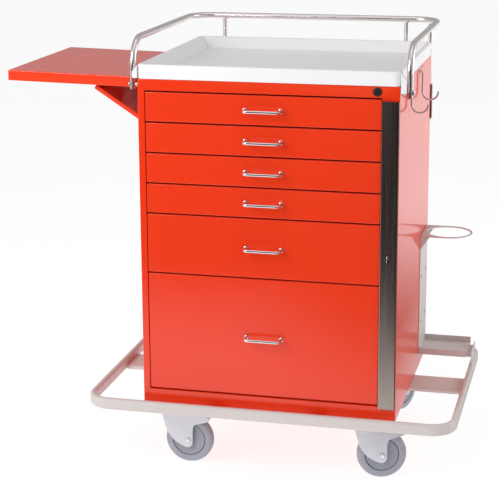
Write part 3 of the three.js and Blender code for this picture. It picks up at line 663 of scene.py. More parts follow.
def cabinet():
    values = {"sheet": 1.5, "edge": 2.6, "cornerRadius": 3, "leftStile": 17, "lip": 14, "rearFlange": 20,
              "lockHole": 9.6, "backInset": (13, 12)}
    sheet, edge = values["sheet"], values["edge"]

    def outer(inset, level):
        return place(rectRing(left + inset, right - inset, bottom + inset, top - inset,
                              values["cornerRadius"]), "y", level)

    def opening(grow, level):
        return place(rectRing(left + values["leftStile"] - grow, otherLow.x + grow, panHigh.z - grow,
                              deckLow.z + grow, 0.8), "y", level)

    rings = [outer(values["rearFlange"], back - sheet), outer(values["rearFlange"], back)]
    rings += [outer(inset, level) for inset, level in roundOver(edge, back - edge, edge, 90, 180)]
    rings += [outer(inset, level) for inset, level in roundOver(edge, front + edge, edge, 180, 270)]
    rings += [opening(1.0, front), opening(0.3, front + 0.3), opening(0, front + 1.0)]
    rings += [opening(0, front + values["lip"]), opening(sheet, front + values["lip"])]
    rings += [opening(sheet, front + sheet), outer(sheet, front + sheet), outer(sheet, back - sheet)]
    shell = makePiece("cabinetShell", [(loft(rings, closed=True), redPaint)], "cabinet",
                      ["side_panel_left", "side_panel_right", "top_deck", "base_pan"])
    lockX, _, lockZ = centreOf(*cad("lock_housing"))
    r = values["lockHole"]
    cutHole(shell, [(lockX + r * math.cos(math.radians(15 * k)), lockZ + r * math.sin(math.radians(15 * k)))
                    for k in range(24)], front - 3, front + 8)
    plateLevels = [(1.2, back + 1.3), (0.3, back + 1.0), (0, back + 0.6), (0, back + 0.1)]
    insetX, insetZ = values["backInset"]
    x0, x1 = left + insetX, right - insetX
    z0, z1 = bottom + insetZ, top - insetZ
    makePiece("backPlate", [(pan("y", (x0, x1, z0, z1), plateLevels, 6), redPaint)], "cabinet",
              ["back_panel"])
    # deck and pan close the shell above and below, just inside it
    inside = (left + sheet + 0.1, right - sheet - 0.1, front + sheet + 0.1, back - sheet - 0.1)
    deck = pan("z", inside, [(0, top - sheet + 0.05), (0, top - 0.4)], 1)
    floor = pan("z", inside, [(0, bottom + 0.4), (0, bottom + sheet - 0.05)], 1)
    makePiece("cabinetDeck", [(deck, redPaint), (floor, redPaint)], "cabinet")
    return x0, x1, z0, z1


def drawers():
    values = {"radius": 2.0, "sheet": 1.5, "rim": 2.2, "floorRadius": 3.0, "slideWidth": 12,
              "slideHalfHeight": 11.5, "slideRise": 30}
    r, sheet = values["radius"], values["sheet"]
    for number in range(1, 7):
        low, high = cad(f"drawer_front_{number}")
        steps = roundOver(r, low.y + r, r, 270, 180)
        steps += [(0, high.y), (sheet, high.y), (sheet, low.y + sheet)]
        rect = (low.x, high.x, low.z, high.z)
        makePiece(f"drawerFront{number}", [(pan("y", rect, steps, 2.4), redPaint)], f"drawer_{number}",
                  [f"drawer_front_{number}"])
        drawerTray(number, values)
        drawerPull(number)


def drawerTray(number, values):
    low, high = cad(f"drawer_box_{number}")
    x0, x1 = low.x + values["slideWidth"], high.x - values["slideWidth"]
    rim, sheet = values["rim"], values["sheet"]
    r = values["floorRadius"]
    steps = [(r, low.z), (0.9, low.z + 0.9), (0, low.z + r), (0, high.z - rim)]
    steps += [(-0.1, high.z - rim), (0, high.z - 0.6), (0.8, high.z), (rim - 0.8, high.z)]
    steps += [(rim, high.z - 0.8)]
    steps += [(rim, high.z - rim), (sheet, high.z - rim - 0.6)]
    steps += [(sheet, low.z + sheet + r), (sheet + 0.9, low.z + sheet + 0.9), (sheet + r, low.z + sheet)]
    shell = pan("z", (x0, x1, low.y, high.y), steps, 5)
    parts = [(shell, zinc)]
    half = values["slideHalfHeight"]
    level = low.z + values["slideRise"]
    for start, end in ((low.x, x0), (x1, high.x)):
        parts.append((block((start, low.y + 8, level - half), (end, high.y, level + half), 1.2), zinc))
    makePiece(f"drawerTray{number}", parts, f"drawer_{number}", [f"drawer_box_{number}"])


def drawerPull(number):
    values = {"radius": 4.0, "bend": 9.5, "ferrule": 6.0}
    low, high = cad(f"drawer_handle_{number}")
    centre, _, level = centreOf(low, high)
    half = (high.x - low.x) / 2 - values["radius"]
    reach = low.y + values["radius"]
    corners = [(centre - half, high.y, level), (centre - half, reach, level),
               (centre + half, reach, level), (centre + half, high.y, level)]
    parts = [(tube(corners, values["bend"], values["radius"], 24, 10), chrome)]
    for sign in (-1, 1):
        base = (centre + sign * half, high.y, level)
        r = values["ferrule"]
        profile = [(0, 0), (r, 0), (r, 0.8), (r - 0.6, 1.6), (values["radius"], 2.0), (0, 2.0)]
        parts.append((turned(profile, base, (0, -1, 0), 24), chrome))
    makePiece(f"drawerPull{number}", parts, f"drawer_{number}", [f"drawer_handle_{number}"])


backRect = cabinet()
drawers()
print("cabinet and drawers made")


def keyLock():
    low, high = cad("lock_housing")
    values = {"bore": 7.3, "barrel": 9.4, "flange": 2.5, "depth": 22}
    x, _, z = centreOf(low, high)
    r = (high.x - low.x) / 2
    bore, barrel, flange, depth = (values[key] for key in ("bore", "barrel", "flange", "depth"))
    profile = [(bore, 0.5), (bore + 0.5, 0), (r - 1.4, 0), (r - 0.4, 0.5), (r, 1.5), (r, flange),
               (barrel, flange), (barrel, depth), (bore, depth)]
    housing = turned(profile, (x, low.y, z), (0, 1, 0))
    makePiece("lockHousing", [(housing, darkSteel)], "cabinet", ["lock_housing"])
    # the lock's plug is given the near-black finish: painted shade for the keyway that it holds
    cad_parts["lock_plug"].data.materials[0] = blackAndPaintedShade


def lockBar():
    low, high = cad("lock_bar")
    hingeLow = cad("lock_bar_hinge")[0]
    stapleLow, stapleHigh = cad("seal_staple")
    values = {"sheet": 1.5, "bend": 1.6, "knuckle": 3.0, "knuckleLength": 24.0, "gap": 0.5,
              "sealSlot": (4.2, 11), "stapleWire": 1.5, "stapleHalf": 7}
    pinX, pinY = high.x - values["knuckle"], low.y + values["knuckle"]
    sheet = values["sheet"]
    section = [(pinX, low.y), (low.x, low.y), (low.x, front - 1)]
    parts = [(foldedSheet(section, values["bend"], -sheet, low.z, high.z, "z", 6), stainlessUp)]
    for z in (low.z, high.z - sheet):
        cap = block((low.x + 0.4, low.y + 0.4, z), (low.x + 30, front - 1.6, z + sheet), 0.4)
        parts.append((cap, stainlessUp))
    bar = makePiece("lockBar", parts, "lock_bar", ["lock_bar"])
    # the slot for the seal's staple
    centreX, _, centreZ = centreOf(stapleLow, stapleHigh)
    cutHole(bar, plateRound(centreX - 0.5, centreZ, *values["sealSlot"]), low.y - 2, low.y + 5)
    count = int((high.z - low.z - 4) / (2 * values["knuckleLength"]))
    pitch = (high.z - low.z - 4) / (2 * count)
    for name, body, offset in (("barKnuckles", "lock_bar", 0), ("leafKnuckles", "cabinet", 1)):
        start = (pinX, pinY, low.z + 2 + pitch * (offset + 0.5))
        knuckleRow(name, start, body, values["knuckle"], pitch - values["gap"],
                   (0, 0, 2 * pitch * metre), count, (0, 0, 0), stainlessUp)
    leaf = block((hingeLow.x, front - 1.2, low.z + 2), (pinX - 1, front - 0.2, high.z - 2), 0.3)
    pin = tube([(pinX, pinY, low.z + 1), (pinX, pinY, high.z - 1)], 1, 1.5, 12)
    makePiece("barHingeLeaf", [(leaf, stainlessUp), (pin, stainlessUp)], "cabinet",
              ["lock_bar_hinge"])
    wire, half = values["stapleWire"], values["stapleHalf"]
    reach = stapleLow.y + wire
    corners = [(centreX, front, centreZ - half), (centreX, reach, centreZ - half),
               (centreX, reach, centreZ + half), (centreX, front, centreZ + half)]
    foot = block((centreX - 3, front - 1.3, centreZ - 10), (centreX + 3, front - 0.2, centreZ + 10), 0.4)
    makePiece("sealStaple", [(tube(corners, 3, wire, 16), chrome), (foot, stainlessUp)], "cabinet",
              ["seal_staple"])


keyLock()
lockBar()
print("locks made")


def topTray():
    low, high = cad("top_tray")
    values = {"wall": 2.6, "rim": 10, "slope": 22, "floor": 6, "rimRadius": 4.5, "floorRadius": 7,
              "height": 35, "overhang": 1, "cornerRadius": 16, "bossDrop": (34.5, 53), "bossFall": 16,
              "bossEnds": (1, 19)}
    rim, slope, wall = values["rim"], values["slope"], values["wall"]
    under = high.z - values["height"]
    floor = under + values["floor"]
    r, floorRadius = values["rimRadius"], values["floorRadius"]
    tilt = math.degrees(math.atan2(high.z - floor, slope))
    flat = rim + slope
    # from the middle of the floor, up the slope, over the rim, down the skirt and back underneath
    setback = floorRadius * math.tan(math.radians(tilt / 2))
    bendBack = r * math.tan(math.radians(tilt / 2))
    steps = []
    for k in range(6):
        angle = math.radians(tilt * k / 5)
        steps.append((flat + setback - floorRadius * math.sin(angle),
                      floor + floorRadius * (1 - math.cos(angle))))
    for k in range(5):
        angle = math.radians(tilt - tilt * k / 4)
        steps.append((rim - bendBack + r * math.sin(angle), high.z - r * (1 - math.cos(angle))))
    for k in range(6):
        angle = math.radians(90 * k / 5)
        steps.append((r - r * math.sin(angle), high.z - r + r * math.cos(angle)))
    steps += [(0, under + 1.0), (0.6, under), (wall - 0.6, under), (wall, under + 1.0)]
    steps += [(wall, high.z - r), (r, high.z - wall), (rim - 3, high.z - wall)]
    steps += [(flat - 1.5, floor - wall + 1.5), (flat + 2, floor - wall)]
    overhang = values["overhang"]
    rect = (left - overhang, right + overhang, low.y, high.y)
    parts = [(pan("z", rect, steps, values["cornerRadius"]), whiteAbs)]
    # a boss on each side, in front of the rail's leg
    y0, y1 = (front + end for end in values["bossEnds"])
    for sign, wallX, outer, drop in ((-1, rect[0], low.x, values["bossDrop"][0]),
                                     (1, rect[1], high.x, values["bossDrop"][1])):
        root = wallX + sign * 0.15
        rings = []
        ends = [(2.4, y0), (0.7, y0 + 0.7), (0, y0 + 2.4), (0, y1 - 2.4), (0.7, y1 - 0.7), (2.4, y1)]
        for inset, y in ends:
            x, foot = outer - sign * inset, high.z - drop + inset
            corners = [(root, y, foot), (x, y, foot), (x, y, high.z - 3 - values["bossFall"] - inset),
                       (root, y, high.z - 3.5 - inset)]
            rings.append(bentLine(corners, 2.2, 5))
        parts.append((loft(rings), whiteAbs))
    makePiece("trayShell", parts, "cabinet", ["top_tray"])


def guardRail():
    low, high = cad("guard_rail")
    values = {"radius": 8.0, "bend": 65, "postRadius": 7.0, "spacer": 5.0, "postInset": 70, "boltRise": 12}
    r, spacer = values["radius"], values["spacer"]
    x0, x1 = low.x + r, high.x - r
    y0, y1 = low.y + r, high.y - r
    level = high.z - r
    corners = [(x0, y0, low.z), (x0, y0, level), (x0, y1, level),
               (x1, y1, level), (x1, y0, level), (x1, y0, low.z)]
    parts = [(tube(corners, values["bend"], r, 28, 14), stainlessTube)]
    boltLevel = low.z + values["boltRise"]
    for x, wall in ((x0, left), (x1, right)):
        parts.append((tube([(x, y0, boltLevel), (wall, y0, boltLevel)], 1, spacer, 20), stainlessTube))
        # a round plug closes the foot of each leg
        cap = [(0, 0), (r - 2.5, 0), (r - 0.8, 0.8), (r - 0.2, 2.4), (r - 0.2, 4), (0, 4)]
        parts.append((turned(cap, (x, y0, low.z - 0.6), (0, 0, 1), 28), blackAndPaintedShade))
    posts = (left + values["postInset"], right - values["postInset"])
    bead = [(6.8, -8.6), (8.2, -8.2), (8.9, -7.2), (7.4, -5.4)]  # the weld where a post meets the rail
    for x in posts:
        parts.append((tube([(x, y1, low.z), (x, y1, level)], 1, values["postRadius"], 24), stainlessTube))
        parts.append((tube([(x, y1, boltLevel), (x, back, boltLevel)], 1, spacer, 20), stainlessTube))
        parts.append((turned(bead, (x, y1, level), (0, 0, 1), 24), stainlessTube))
    makePiece("guardRailTube", parts, "cabinet", ["guard_rail"])
    screwSet("railBolts", [([(x0 - r, y0, boltLevel)], "-x", 5.0), ([(x1 + r, y0, boltLevel)], "+x", 5.0),
                           ([(x, y1 + values["postRadius"], boltLevel) for x in posts], "+y", 4.5)],
             stainlessTube)


def cornerPost():
    low, high = cad("corner_post")
    clipLow, clipHigh = cad("corner_post_bracket")
    values = {"clipThickness": 2.6, "bend": 2.4, "sheet": 1.8, "screwIn": 15, "screwRise": 18}
    x, y, _ = centreOf(low, high)
    r, length = (high.y - low.y) / 2, high.z - low.z
    profile = [(0, 0), (r - 1, 0), (r, 1), (r, length - 1), (r - 1, length), (0, length)]
    makePiece("cornerPostTube", [(turned(profile, (x, y, low.z), (0, 0, 1), 28), stainlessTube)], "cabinet",
              ["corner_post"])
    half = clipHigh.x - x
    plateY, screwX = back + values["clipThickness"], clipLow.x + values["screwIn"]
    outline = [(clipLow.x, plateY), (x - half, plateY), (x - half, clipHigh.y), (x + half, clipHigh.y),
               (x + half, back + 0.3)]
    clip = foldedSheet(outline, values["bend"], -values["sheet"], clipLow.z, clipHigh.z, "z", 5)
    makePiece("cornerPostClip", [(clip, darkSteel)], "cabinet", ["corner_post_bracket"])
    holes = [(screwX, plateY, z) for z in (clipLow.z + values["screwRise"], clipHigh.z - values["screwRise"])]
    screwSet("clipScrews", [(holes, "+y", 4.0)])


topTray()
guardRail()
cornerPost()
print("tray and rail made")


def aboutPin(pinX, pinZ, degrees):
    return Matrix.Translation((pinX, 0, pinZ)) @ Matrix.Rotation(math.radians(degrees), 4, "Y")


hingeKnuckle = 3.5  # the radius of the shelf's and the support's hinges


def sideShelf():
    low, high = cad("side_shelf")
    hingeLow, hingeHigh = cad("shelf_hinge")
    values = {"tilt": 1.2, "inner": 2.9, "lipBottom": 4.0, "top": 30.0, "sheet": 1.6, "edge": 2.6,
              "return": 12}
    pinX, pinZ = hingeLow.x + hingeKnuckle, hingeHigh.z - hingeKnuckle
    edge, sheet, under, top = values["edge"], values["sheet"], values["lipBottom"], values["top"]
    tilt = math.radians(values["tilt"])
    outer = (low.x - pinX - under * math.sin(tilt)) / math.cos(tilt)
    steps = roundOver(edge, top - edge, edge, 90, 180)
    steps += [(0, under + 1.0), (0.7, under), (values["return"], under), (values["return"], under + sheet),
              (sheet, under + sheet), (sheet, top - sheet)]
    leaf = pan("z", (outer, values["inner"], low.y, high.y), steps, 3.4)
    turn = aboutPin(pinX, pinZ, values["tilt"])
    web = block((0, hingeLow.y + 4, under - 2.4), (values["inner"], hingeHigh.y - 4, under + 1), 0.3)
    makePiece("shelfLeaf", [(moved(leaf, turn), redPaint), (moved(web, turn), redPaint)], "shelf",
              ["side_shelf"])


def pianoHinge(label, screwHead, sink):
    # the hinge of the shelf or of its support; label is also the name of the body that moves
    low, high = cad(label + "_hinge")
    values = {"count": 7, "gap": 0.6, "leafThickness": 1.6, "pin": 1.6, "screws": 5, "screwRise": 10}
    pinX, pinZ = low.x + hingeKnuckle, high.z - hingeKnuckle
    span, count = high.y - low.y, values["count"]
    pitch = span / (2 * count)
    for name, body, offset in (("MovingKnuckles", label, 0), ("FixedKnuckles", "cabinet", 1)):
        start = (pinX, low.y + pitch * (offset + 0.5), pinZ)
        knuckleRow(label + name, start, body, hingeKnuckle, pitch - values["gap"],
                   (0, 2 * pitch * metre, 0), count, (math.pi / 2, 0, 0), redPaint)
    plateTop, outside = pinZ - 0.5, left - values["leafThickness"]
    leafPlate = block((outside, low.y, low.z), (left - 0.2, high.y, plateTop), 0.5)
    pin = tube([(pinX, low.y + 1, pinZ), (pinX, high.y - 1, pinZ)], 1, values["pin"], 12)
    web = block((pinX + 1.9, low.y, plateTop - 3.4), (left - 0.3, high.y, plateTop - 2.2), 0.3)
    makePiece(label + "HingePlate", [(leafPlate, redPaint), (pin, zinc), (web, redPaint)], "cabinet",
              [label + "_hinge"])
    count, level = values["screws"], low.z + values["screwRise"]
    row = [(outside + sink, low.y + span * (k + 0.5) / count, level) for k in range(count)]
    screwSet(label + "HingeScrews", [(row, "-x", screwHead)])


def supportFlap():
    low, high = cad("shelf_support")
    hingeLow, hingeHigh = cad("support_hinge")
    values = {"reach": 145, "rise": 33, "half": 5.0, "sheet": 1.5, "edge": 1.6, "start": 6, "return": 8}
    pinX, pinZ = hingeLow.x + hingeKnuckle, hingeHigh.z - hingeKnuckle
    half, sheet, edge, fold = values["half"], values["sheet"], values["edge"], values["return"]
    steps = roundOver(edge, -half + edge, edge, 270, 180)
    steps += [(0, half - 0.5), (0.5, half), (fold, half), (fold, half - sheet), (sheet, half - sheet),
              (sheet, -half + sheet)]
    flap = pan("z", (-values["reach"], -values["start"], low.y, high.y), steps, 2.4)
    arm = block((-8, low.y + 30, -1.2), (-1, high.y - 30, 1.2), 0.4)
    turn = aboutPin(pinX, pinZ, values["rise"])
    makePiece("supportFlap", [(moved(flap, turn), redPaint), (moved(arm, turn), redPaint)], "support",
              ["shelf_support"])


def hooks():
    values = {"wire": 2.5, "crook": 20, "stand": 7, "pad": 6}
    wire, crook, padRadius = values["wire"], values["crook"], values["pad"]
    stand = right + values["stand"]
    for name, node in (("hookFront", "hook_front"), ("hookRear", "hook_rear")):
        low, high = cad(node)
        y = centreOf(low, high)[1]
        lowest, level = low.z + wire, high.z - padRadius
        hanger = tube([(right, y, level), (stand, y, level), (stand, y, lowest + crook)], 4.5, wire, 16)
        bend = tube([(stand, y, lowest + crook + 0.5), (stand, y, lowest), (stand + 2 * crook, y, lowest),
                     (stand + 2 * crook, y, lowest + crook)], crook - 0.05, wire, 16, 12)
        tip = turned([(0, 0), (wire, 0), (wire, 0.8), (wire * 0.7, 2.0), (0, 2.4)],
                     (stand + 2 * crook, y, lowest + crook), (0, 0, 1), 16)
        pad = turned([(0, 0), (padRadius, 0), (padRadius, 1.4), (padRadius - 0.8, 2.0), (0, 2.0)],
                     (right + 0.1, y, level), (1, 0, 0), 28)
        parts = [(shape, zinc) for shape in (hanger, bend, tip, pad)]
        makePiece(name, parts, "cabinet", [node])


def tankHolder():
    low, high = cad("tank_ring")
    baseLow, baseHigh = cad("tank_base")
    values = {"plate": 3.0, "hole": 57.5, "flange": 18, "baseFloor": 22.7, "lipInset": 14}
    half = (high.y - low.y) / 2
    y = (high.y + low.y) / 2
    x = high.x - half
    hole = circle(values["hole"], 96)
    outline = [(low.x, y - half)] + arc(x, y, half, -90, 90, 48) + [(low.x, y + half)]
    ring = plate(outline, [[(x + a, y + b) for a, b in hole]], values["plate"], 1.2, 3)
    ring = moved(ring, Matrix.Translation((0, 0, high.z - values["plate"])))
    upright = pan("x", (low.y, high.y, low.z, high.z - 1),
                  [(0.8, low.x + 2.0), (0, low.x + 1.4), (0, low.x)], 5)
    gusset = [(low.x + 1.5, 0), (low.x + 24, 0), (low.x + 1.5, -34)]
    parts = [(ring, greyPaint), (upright, greyPaint)]
    for side in (low.y + 0.2, high.y - 2.2):
        turn = Matrix.Translation((0, side + 2, high.z - 3)) @ Matrix.Rotation(math.pi / 2, 4, "X")
        parts.append((moved(plate(gusset, [], 2, 0.5), turn), greyPaint))
    makePiece("tankRing", parts, "cabinet", ["tank_ring"])
    holes = [(low.x + 2, y + sy * 44, z) for sy in (-1, 1) for z in (low.z + 90, low.z + 215)]
    floor = baseLow.z + values["baseFloor"]
    end, rise = baseHigh.x, floor + values["flange"]
    lipStart, lipEnd = baseLow.y + values["lipInset"], baseHigh.y - values["lipInset"]
    outline = [(baseLow.y, rise), (baseLow.y, floor), (baseHigh.y, floor), (baseHigh.y, rise)]
    channel = foldedSheet(outline, 3.0, 2.0, baseLow.x, end - 14, "x", 5)
    outline = [(end - 30, floor), (end, floor), (end, baseLow.z)]
    lip = foldedSheet(outline, 3.0, -2.0, lipStart, lipEnd, "y", 5)
    upturn = block((end - 2, lipStart, floor + 1), (end, lipEnd, floor + 12), 0.7)
    makePiece("tankBase", [(channel, greyPaint), (lip, greyPaint), (upturn, greyPaint)], "cabinet",
              ["tank_base"])
    floorHoles = [(end - 26, y - 30, floor + 2), (end - 26, y + 30, floor + 2)]
    screwSet("tankScrews", [(holes, "+x", 4.2), (floorHoles, "+z", 3.8)])


sideShelf()
pianoHinge("shelf", 3.4, 0)
pianoHinge("support", 2.2, 0.6)  # its screws are small and sunk, so that the support folds flat over them
supportFlap()
hooks()
tankHolder()
print("shelf, hooks and cylinder holder made")


def bumper():
    low, high = cad("bumper_loop")
    values = {"thickness": 15.0, "corner": 65.0, "soft": 6.4, "tab": 40, "tabX": 130, "tabThickness": 3,
              "tabReach": 80, "boltX": 110, "boltY": 26}
    t = values["thickness"]
    x0, x1, y0, y1 = low.x + t / 2, high.x - t / 2, low.y + t / 2, high.y - t / 2
    level = (low.z + high.z) / 2
    line = [Vector((x, y, level)) for x, y in rectRing(x0, x1, y0, y1, values["corner"] - t / 2, 16)]
    half = (high.z - low.z) / 2
    section = rectRing(-t / 2, t / 2, -half, half, values["soft"], 5)
    parts = [(sweep(line, section, closed=True, up=(0, 0, 1)), greyPaint)]
    tabTop = bottom - 0.3
    tabUnder, halfTab, reach = tabTop - values["tabThickness"], values["tab"] / 2, values["tabReach"] - t
    tabPlaces = [middle + sign * values["tabX"] for sign in (-1, 1)]
    for start, end in ((low.y + t - 3, low.y + t + reach), (high.y - t - reach, high.y - t + 3)):
        for x in tabPlaces:
            parts.append((block((x - halfTab, start, tabUnder), (x + halfTab, end, tabTop), 0.8), greyPaint))
    makePiece("bumperTube", parts, "cabinet", ["bumper_loop"])
    plateLow, plateHigh = cad("cross_plate")
    outline = [(plateLow.y, plateLow.z), (plateLow.y, plateHigh.z), (plateHigh.y, plateHigh.z),
               (plateHigh.y, plateLow.z)]
    cross = foldedSheet(outline, 4.0, -3.0, plateLow.x, plateHigh.x, "x", 5)
    makePiece("crossPlate", [(cross, greyPaint)], "cabinet", ["cross_plate"])
    bolts = [(middle + sx * values["boltX"], plateLow.y + 50 + sy * values["boltY"], plateHigh.z - 3)
             for sx in (-1, 1) for sy in (-1, 1)]
    bolts += [(x, y, tabUnder) for x in tabPlaces for y in (low.y + 55, high.y - 55)]
    screwSet("underBolts", [(bolts, "-z", 5.0)])


castorTrail = 33  # how far each wheel's axle lies from its swivel


def castors():
    headings = {"front_left": 0, "front_right": 16, "rear_left": 40, "rear_right": 68}  # in degrees
    bolts = []
    for where, turn in headings.items():
        plateLow, plateHigh = cad(f"castor_plate_{where}")
        centre = (plateLow + plateHigh) / 2
        wheelLow, wheelHigh = cad(f"castor_wheel_{where}")
        axle = (wheelLow + wheelHigh) / 2
        placing = Matrix.Translation((centre.x, centre.y, 0)) @ Matrix.Rotation(math.radians(turn), 4, "Z")
        label = "".join(word.capitalize() for word in where.split("_"))
        bolts += castorTop(label, where, plateLow, plateHigh)
        castorFork(label, where, placing, plateLow.z, axle.z)
        castorWheel(label, where, placing, axle.z)
    screwSet("castorBolts", [(bolts, "-z", 5.4)])


def castorTop(label, where, low, high):
    # gives the places of its four bolts
    values = {"plate": 3, "slotX": 34, "slotY": 27, "cornerRadius": 9, "race": 28}
    x, y, _ = centreOf(low, high)
    under = high.z - values["plate"]
    centres = [(sx * values["slotX"], sy * values["slotY"]) for sx in (-1, 1) for sy in (-1, 1)]
    slots = [[(cx + a, cy + b) for a, b in rectRing(-6, 6, -4.3, 4.3, 4.2, 5)] for cx, cy in centres]
    halfX, halfY = (high.x - low.x) / 2, (high.y - low.y) / 2
    outline = rectRing(-halfX, halfX, -halfY, halfY, values["cornerRadius"], 6)
    topPlate = moved(plate(outline, slots, values["plate"], 0.7), Matrix.Translation((x, y, under)))
    r, depth = values["race"], under - low.z
    profile = [(0, 0), (r - 5, 0), (r - 2, 1.0), (r - 0.4, 3.2), (r, 5), (r - 1, depth - 3),
               (r + 4, depth - 0.6), (r + 5, depth), (0, depth)]
    race = turned(profile, (x, y, low.z), (0, 0, 1), 56)
    makePiece(f"castorTop{label}", [(topPlate, zinc), (race, zinc)], "cabinet",
              [f"castor_plate_{where}"])
    return [(x + cx, y + cy, under) for cx, cy in centres]


def castorFork(label, where, placing, top, axleZ):
    # seen square on: a pressed crown, two tapering cheeks and a hood that joins them over the wheel
    values = {"gap": 18.5, "cheek": 3.0, "crown": 40, "drop": 0.3}
    crownTop = top - values["drop"]
    gap, thickness = values["gap"], values["cheek"]
    outline = [(-70, 83), (-68, 62), (-57, 24), (-48, 10), (-38, -2), (-19, -14)]
    outline += [(13.5 * math.sin(math.radians(a)) - 2, -6 - 13.5 * math.cos(math.radians(a)))
                for a in range(-20, 91, 15)]
    outline += [(12.6, 30), (14, 38), (19, 43), (53.5, 53.3), (57, 56.3), (57, 62), (53.5, 65), (6, 83)]
    cheek = plate(outline, [], thickness, 0.9, 3)
    parts = []
    for y in (-gap, gap + thickness):
        stand = Matrix.Translation((castorTrail, y, axleZ)) @ Matrix.Rotation(math.pi / 2, 4, "X")
        parts.append((moved(cheek, placing @ stand), zinc))
    r = values["crown"]
    profile = [(0, -9.5), (r - 9, -9.5), (r - 2, -7.5), (r, -5.5), (r - 0.4, -2.6), (r - 3, -0.8), (r - 8, 0),
               (0, 0)]
    parts.append((moved(turned(profile, (0, 0, crownTop), (0, 0, 1), 64), placing), zinc))
    # the hood follows the cheeks' upper edge from the crown out over the wheel
    edgeLine = [(-40, 80), (8, 80), (53.2, 64.2), (55.4, 61.2), (55.4, 56.6)]
    hood = foldedSheet([(castorTrail + a, axleZ + b) for a, b in edgeLine], 4.0, -2.2, -gap - 1, gap + 1,
                       "y", 5)
    parts.append((moved(hood, placing), zinc))
    bodyName = f"castor_{where}"
    makePiece(f"castorFork{label}", parts, bodyName, [f"castor_fork_{where}"])
    axle, along = axleOf(placing, axleZ)
    end = gap + thickness
    pin = [(0, -end - 4.5), (3.4, -end - 4.5), (4.6, -end - 3.6), (4.6, end + 4), (0, end + 4)]
    flange = [(0, -end - 1.4), (7.4, -end - 1.4), (8.4, -end - 0.9), (8.4, -end), (0, -end)]
    hexHead = [(0, -end - 4.2), (5.4, -end - 4.2), (6.2, -end - 3.4), (6.2, -end - 1.2), (0, -end - 1.2)]
    nut = [(0, end), (7.2, end), (7.2, end + 4), (6.2, end + 5), (0, end + 5)]
    bolt = [(turned(pin, axle, along, 24), chrome), (turned(flange, axle, along, 32), zinc),
            (turned(hexHead, axle, along, 6), zinc), (turned(nut, axle, along, 6), zinc)]
    makePiece(f"castorAxle{label}", bolt, bodyName, [f"castor_axle_{where}"])


def axleOf(placing, axleZ):
    return placing @ Vector((castorTrail, 0, axleZ)), placing.to_3x3() @ Vector((0, 1, 0))


def castorWheel(label, where, placing, axleZ):
    values = {"radius": 62.5, "half": 16, "groove": 42.0, "bore": 5.4}
    r, half, groove = values["radius"], values["half"], values["groove"]
    axle, along = axleOf(placing, axleZ)

    def mirrored(side):
        return side + [(radius, -level) for radius, level in reversed(side)]

    tyre = [(groove + 0.9, half - 5), (groove + 1.2, half - 2.6), (groove + 2.4, half - 1.6),
            (r - 9, half - 1.4), (r - 5, half - 2.6), (r - 1.8, half - 6.4), (r - 0.4, half - 10),
            (r, half - 13.5)]
    hub = [(values["bore"], half - 0.4), (9, half - 0.4), (10, half - 1), (10.5, half - 4.4), (13, half - 5),
           (17, half - 5), (groove - 8, half - 4.6), (groove - 2.2, half - 3.2), (groove - 0.7, half - 3.6),
           (groove - 0.5, half - 5.5)]
    tyreShape = turned(mirrored(tyre), axle, along, 96)
    hubShape = turned(mirrored(hub), axle, along, 72)
    # a near-black ring fills the groove between tyre and hub: painted shade in the crease
    grooveShade = turned(mirrored([(groove - 0.8, half - 6.2), (groove + 1.2, half - 6.2)]), axle, along, 72)
    makePiece(f"castorWheel{label}", [(tyreShape, rubber), (hubShape, wheelPlastic), (grooveShade, blackAndPaintedShade)],
              f"wheel_{where}", [f"castor_wheel_{where}"])


bumper()
castors()
print("bumper and castors made")


def smallFasteners():
    values = {"inset": 10, "endInset": 14, "plate": 1.3, "sideFrom": (370, 392), "sideDrop": 5}
    x0, x1, z0, z1 = backRect
    inset, endInset, y = values["inset"], values["endInset"], back + values["plate"]
    backScrews = []
    for k in range(5):
        z = z0 + endInset + (z1 - z0 - 2 * endInset) * k / 4
        backScrews += [(x0 + inset, y, z), (x1 - inset, y, z)]
    for k in range(1, 4):
        x = x0 + (x1 - x0) * k / 4
        backScrews += [(x, y, z0 + inset), (x, y, z1 - inset)]
    sideScrews = [(right + 0.1, front + reach, top - values["sideDrop"]) for reach in values["sideFrom"]]
    screwSet("cabinetScrews", [(backScrews, "+y", 3.6), (sideScrews, "+x", 2.2)])
    for rack in ("slide_rack_left", "slide_rack_right"):
        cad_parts[rack].data.materials[0] = zinc


smallFasteners()
print("fasteners made")


# ---- floor, light and camera

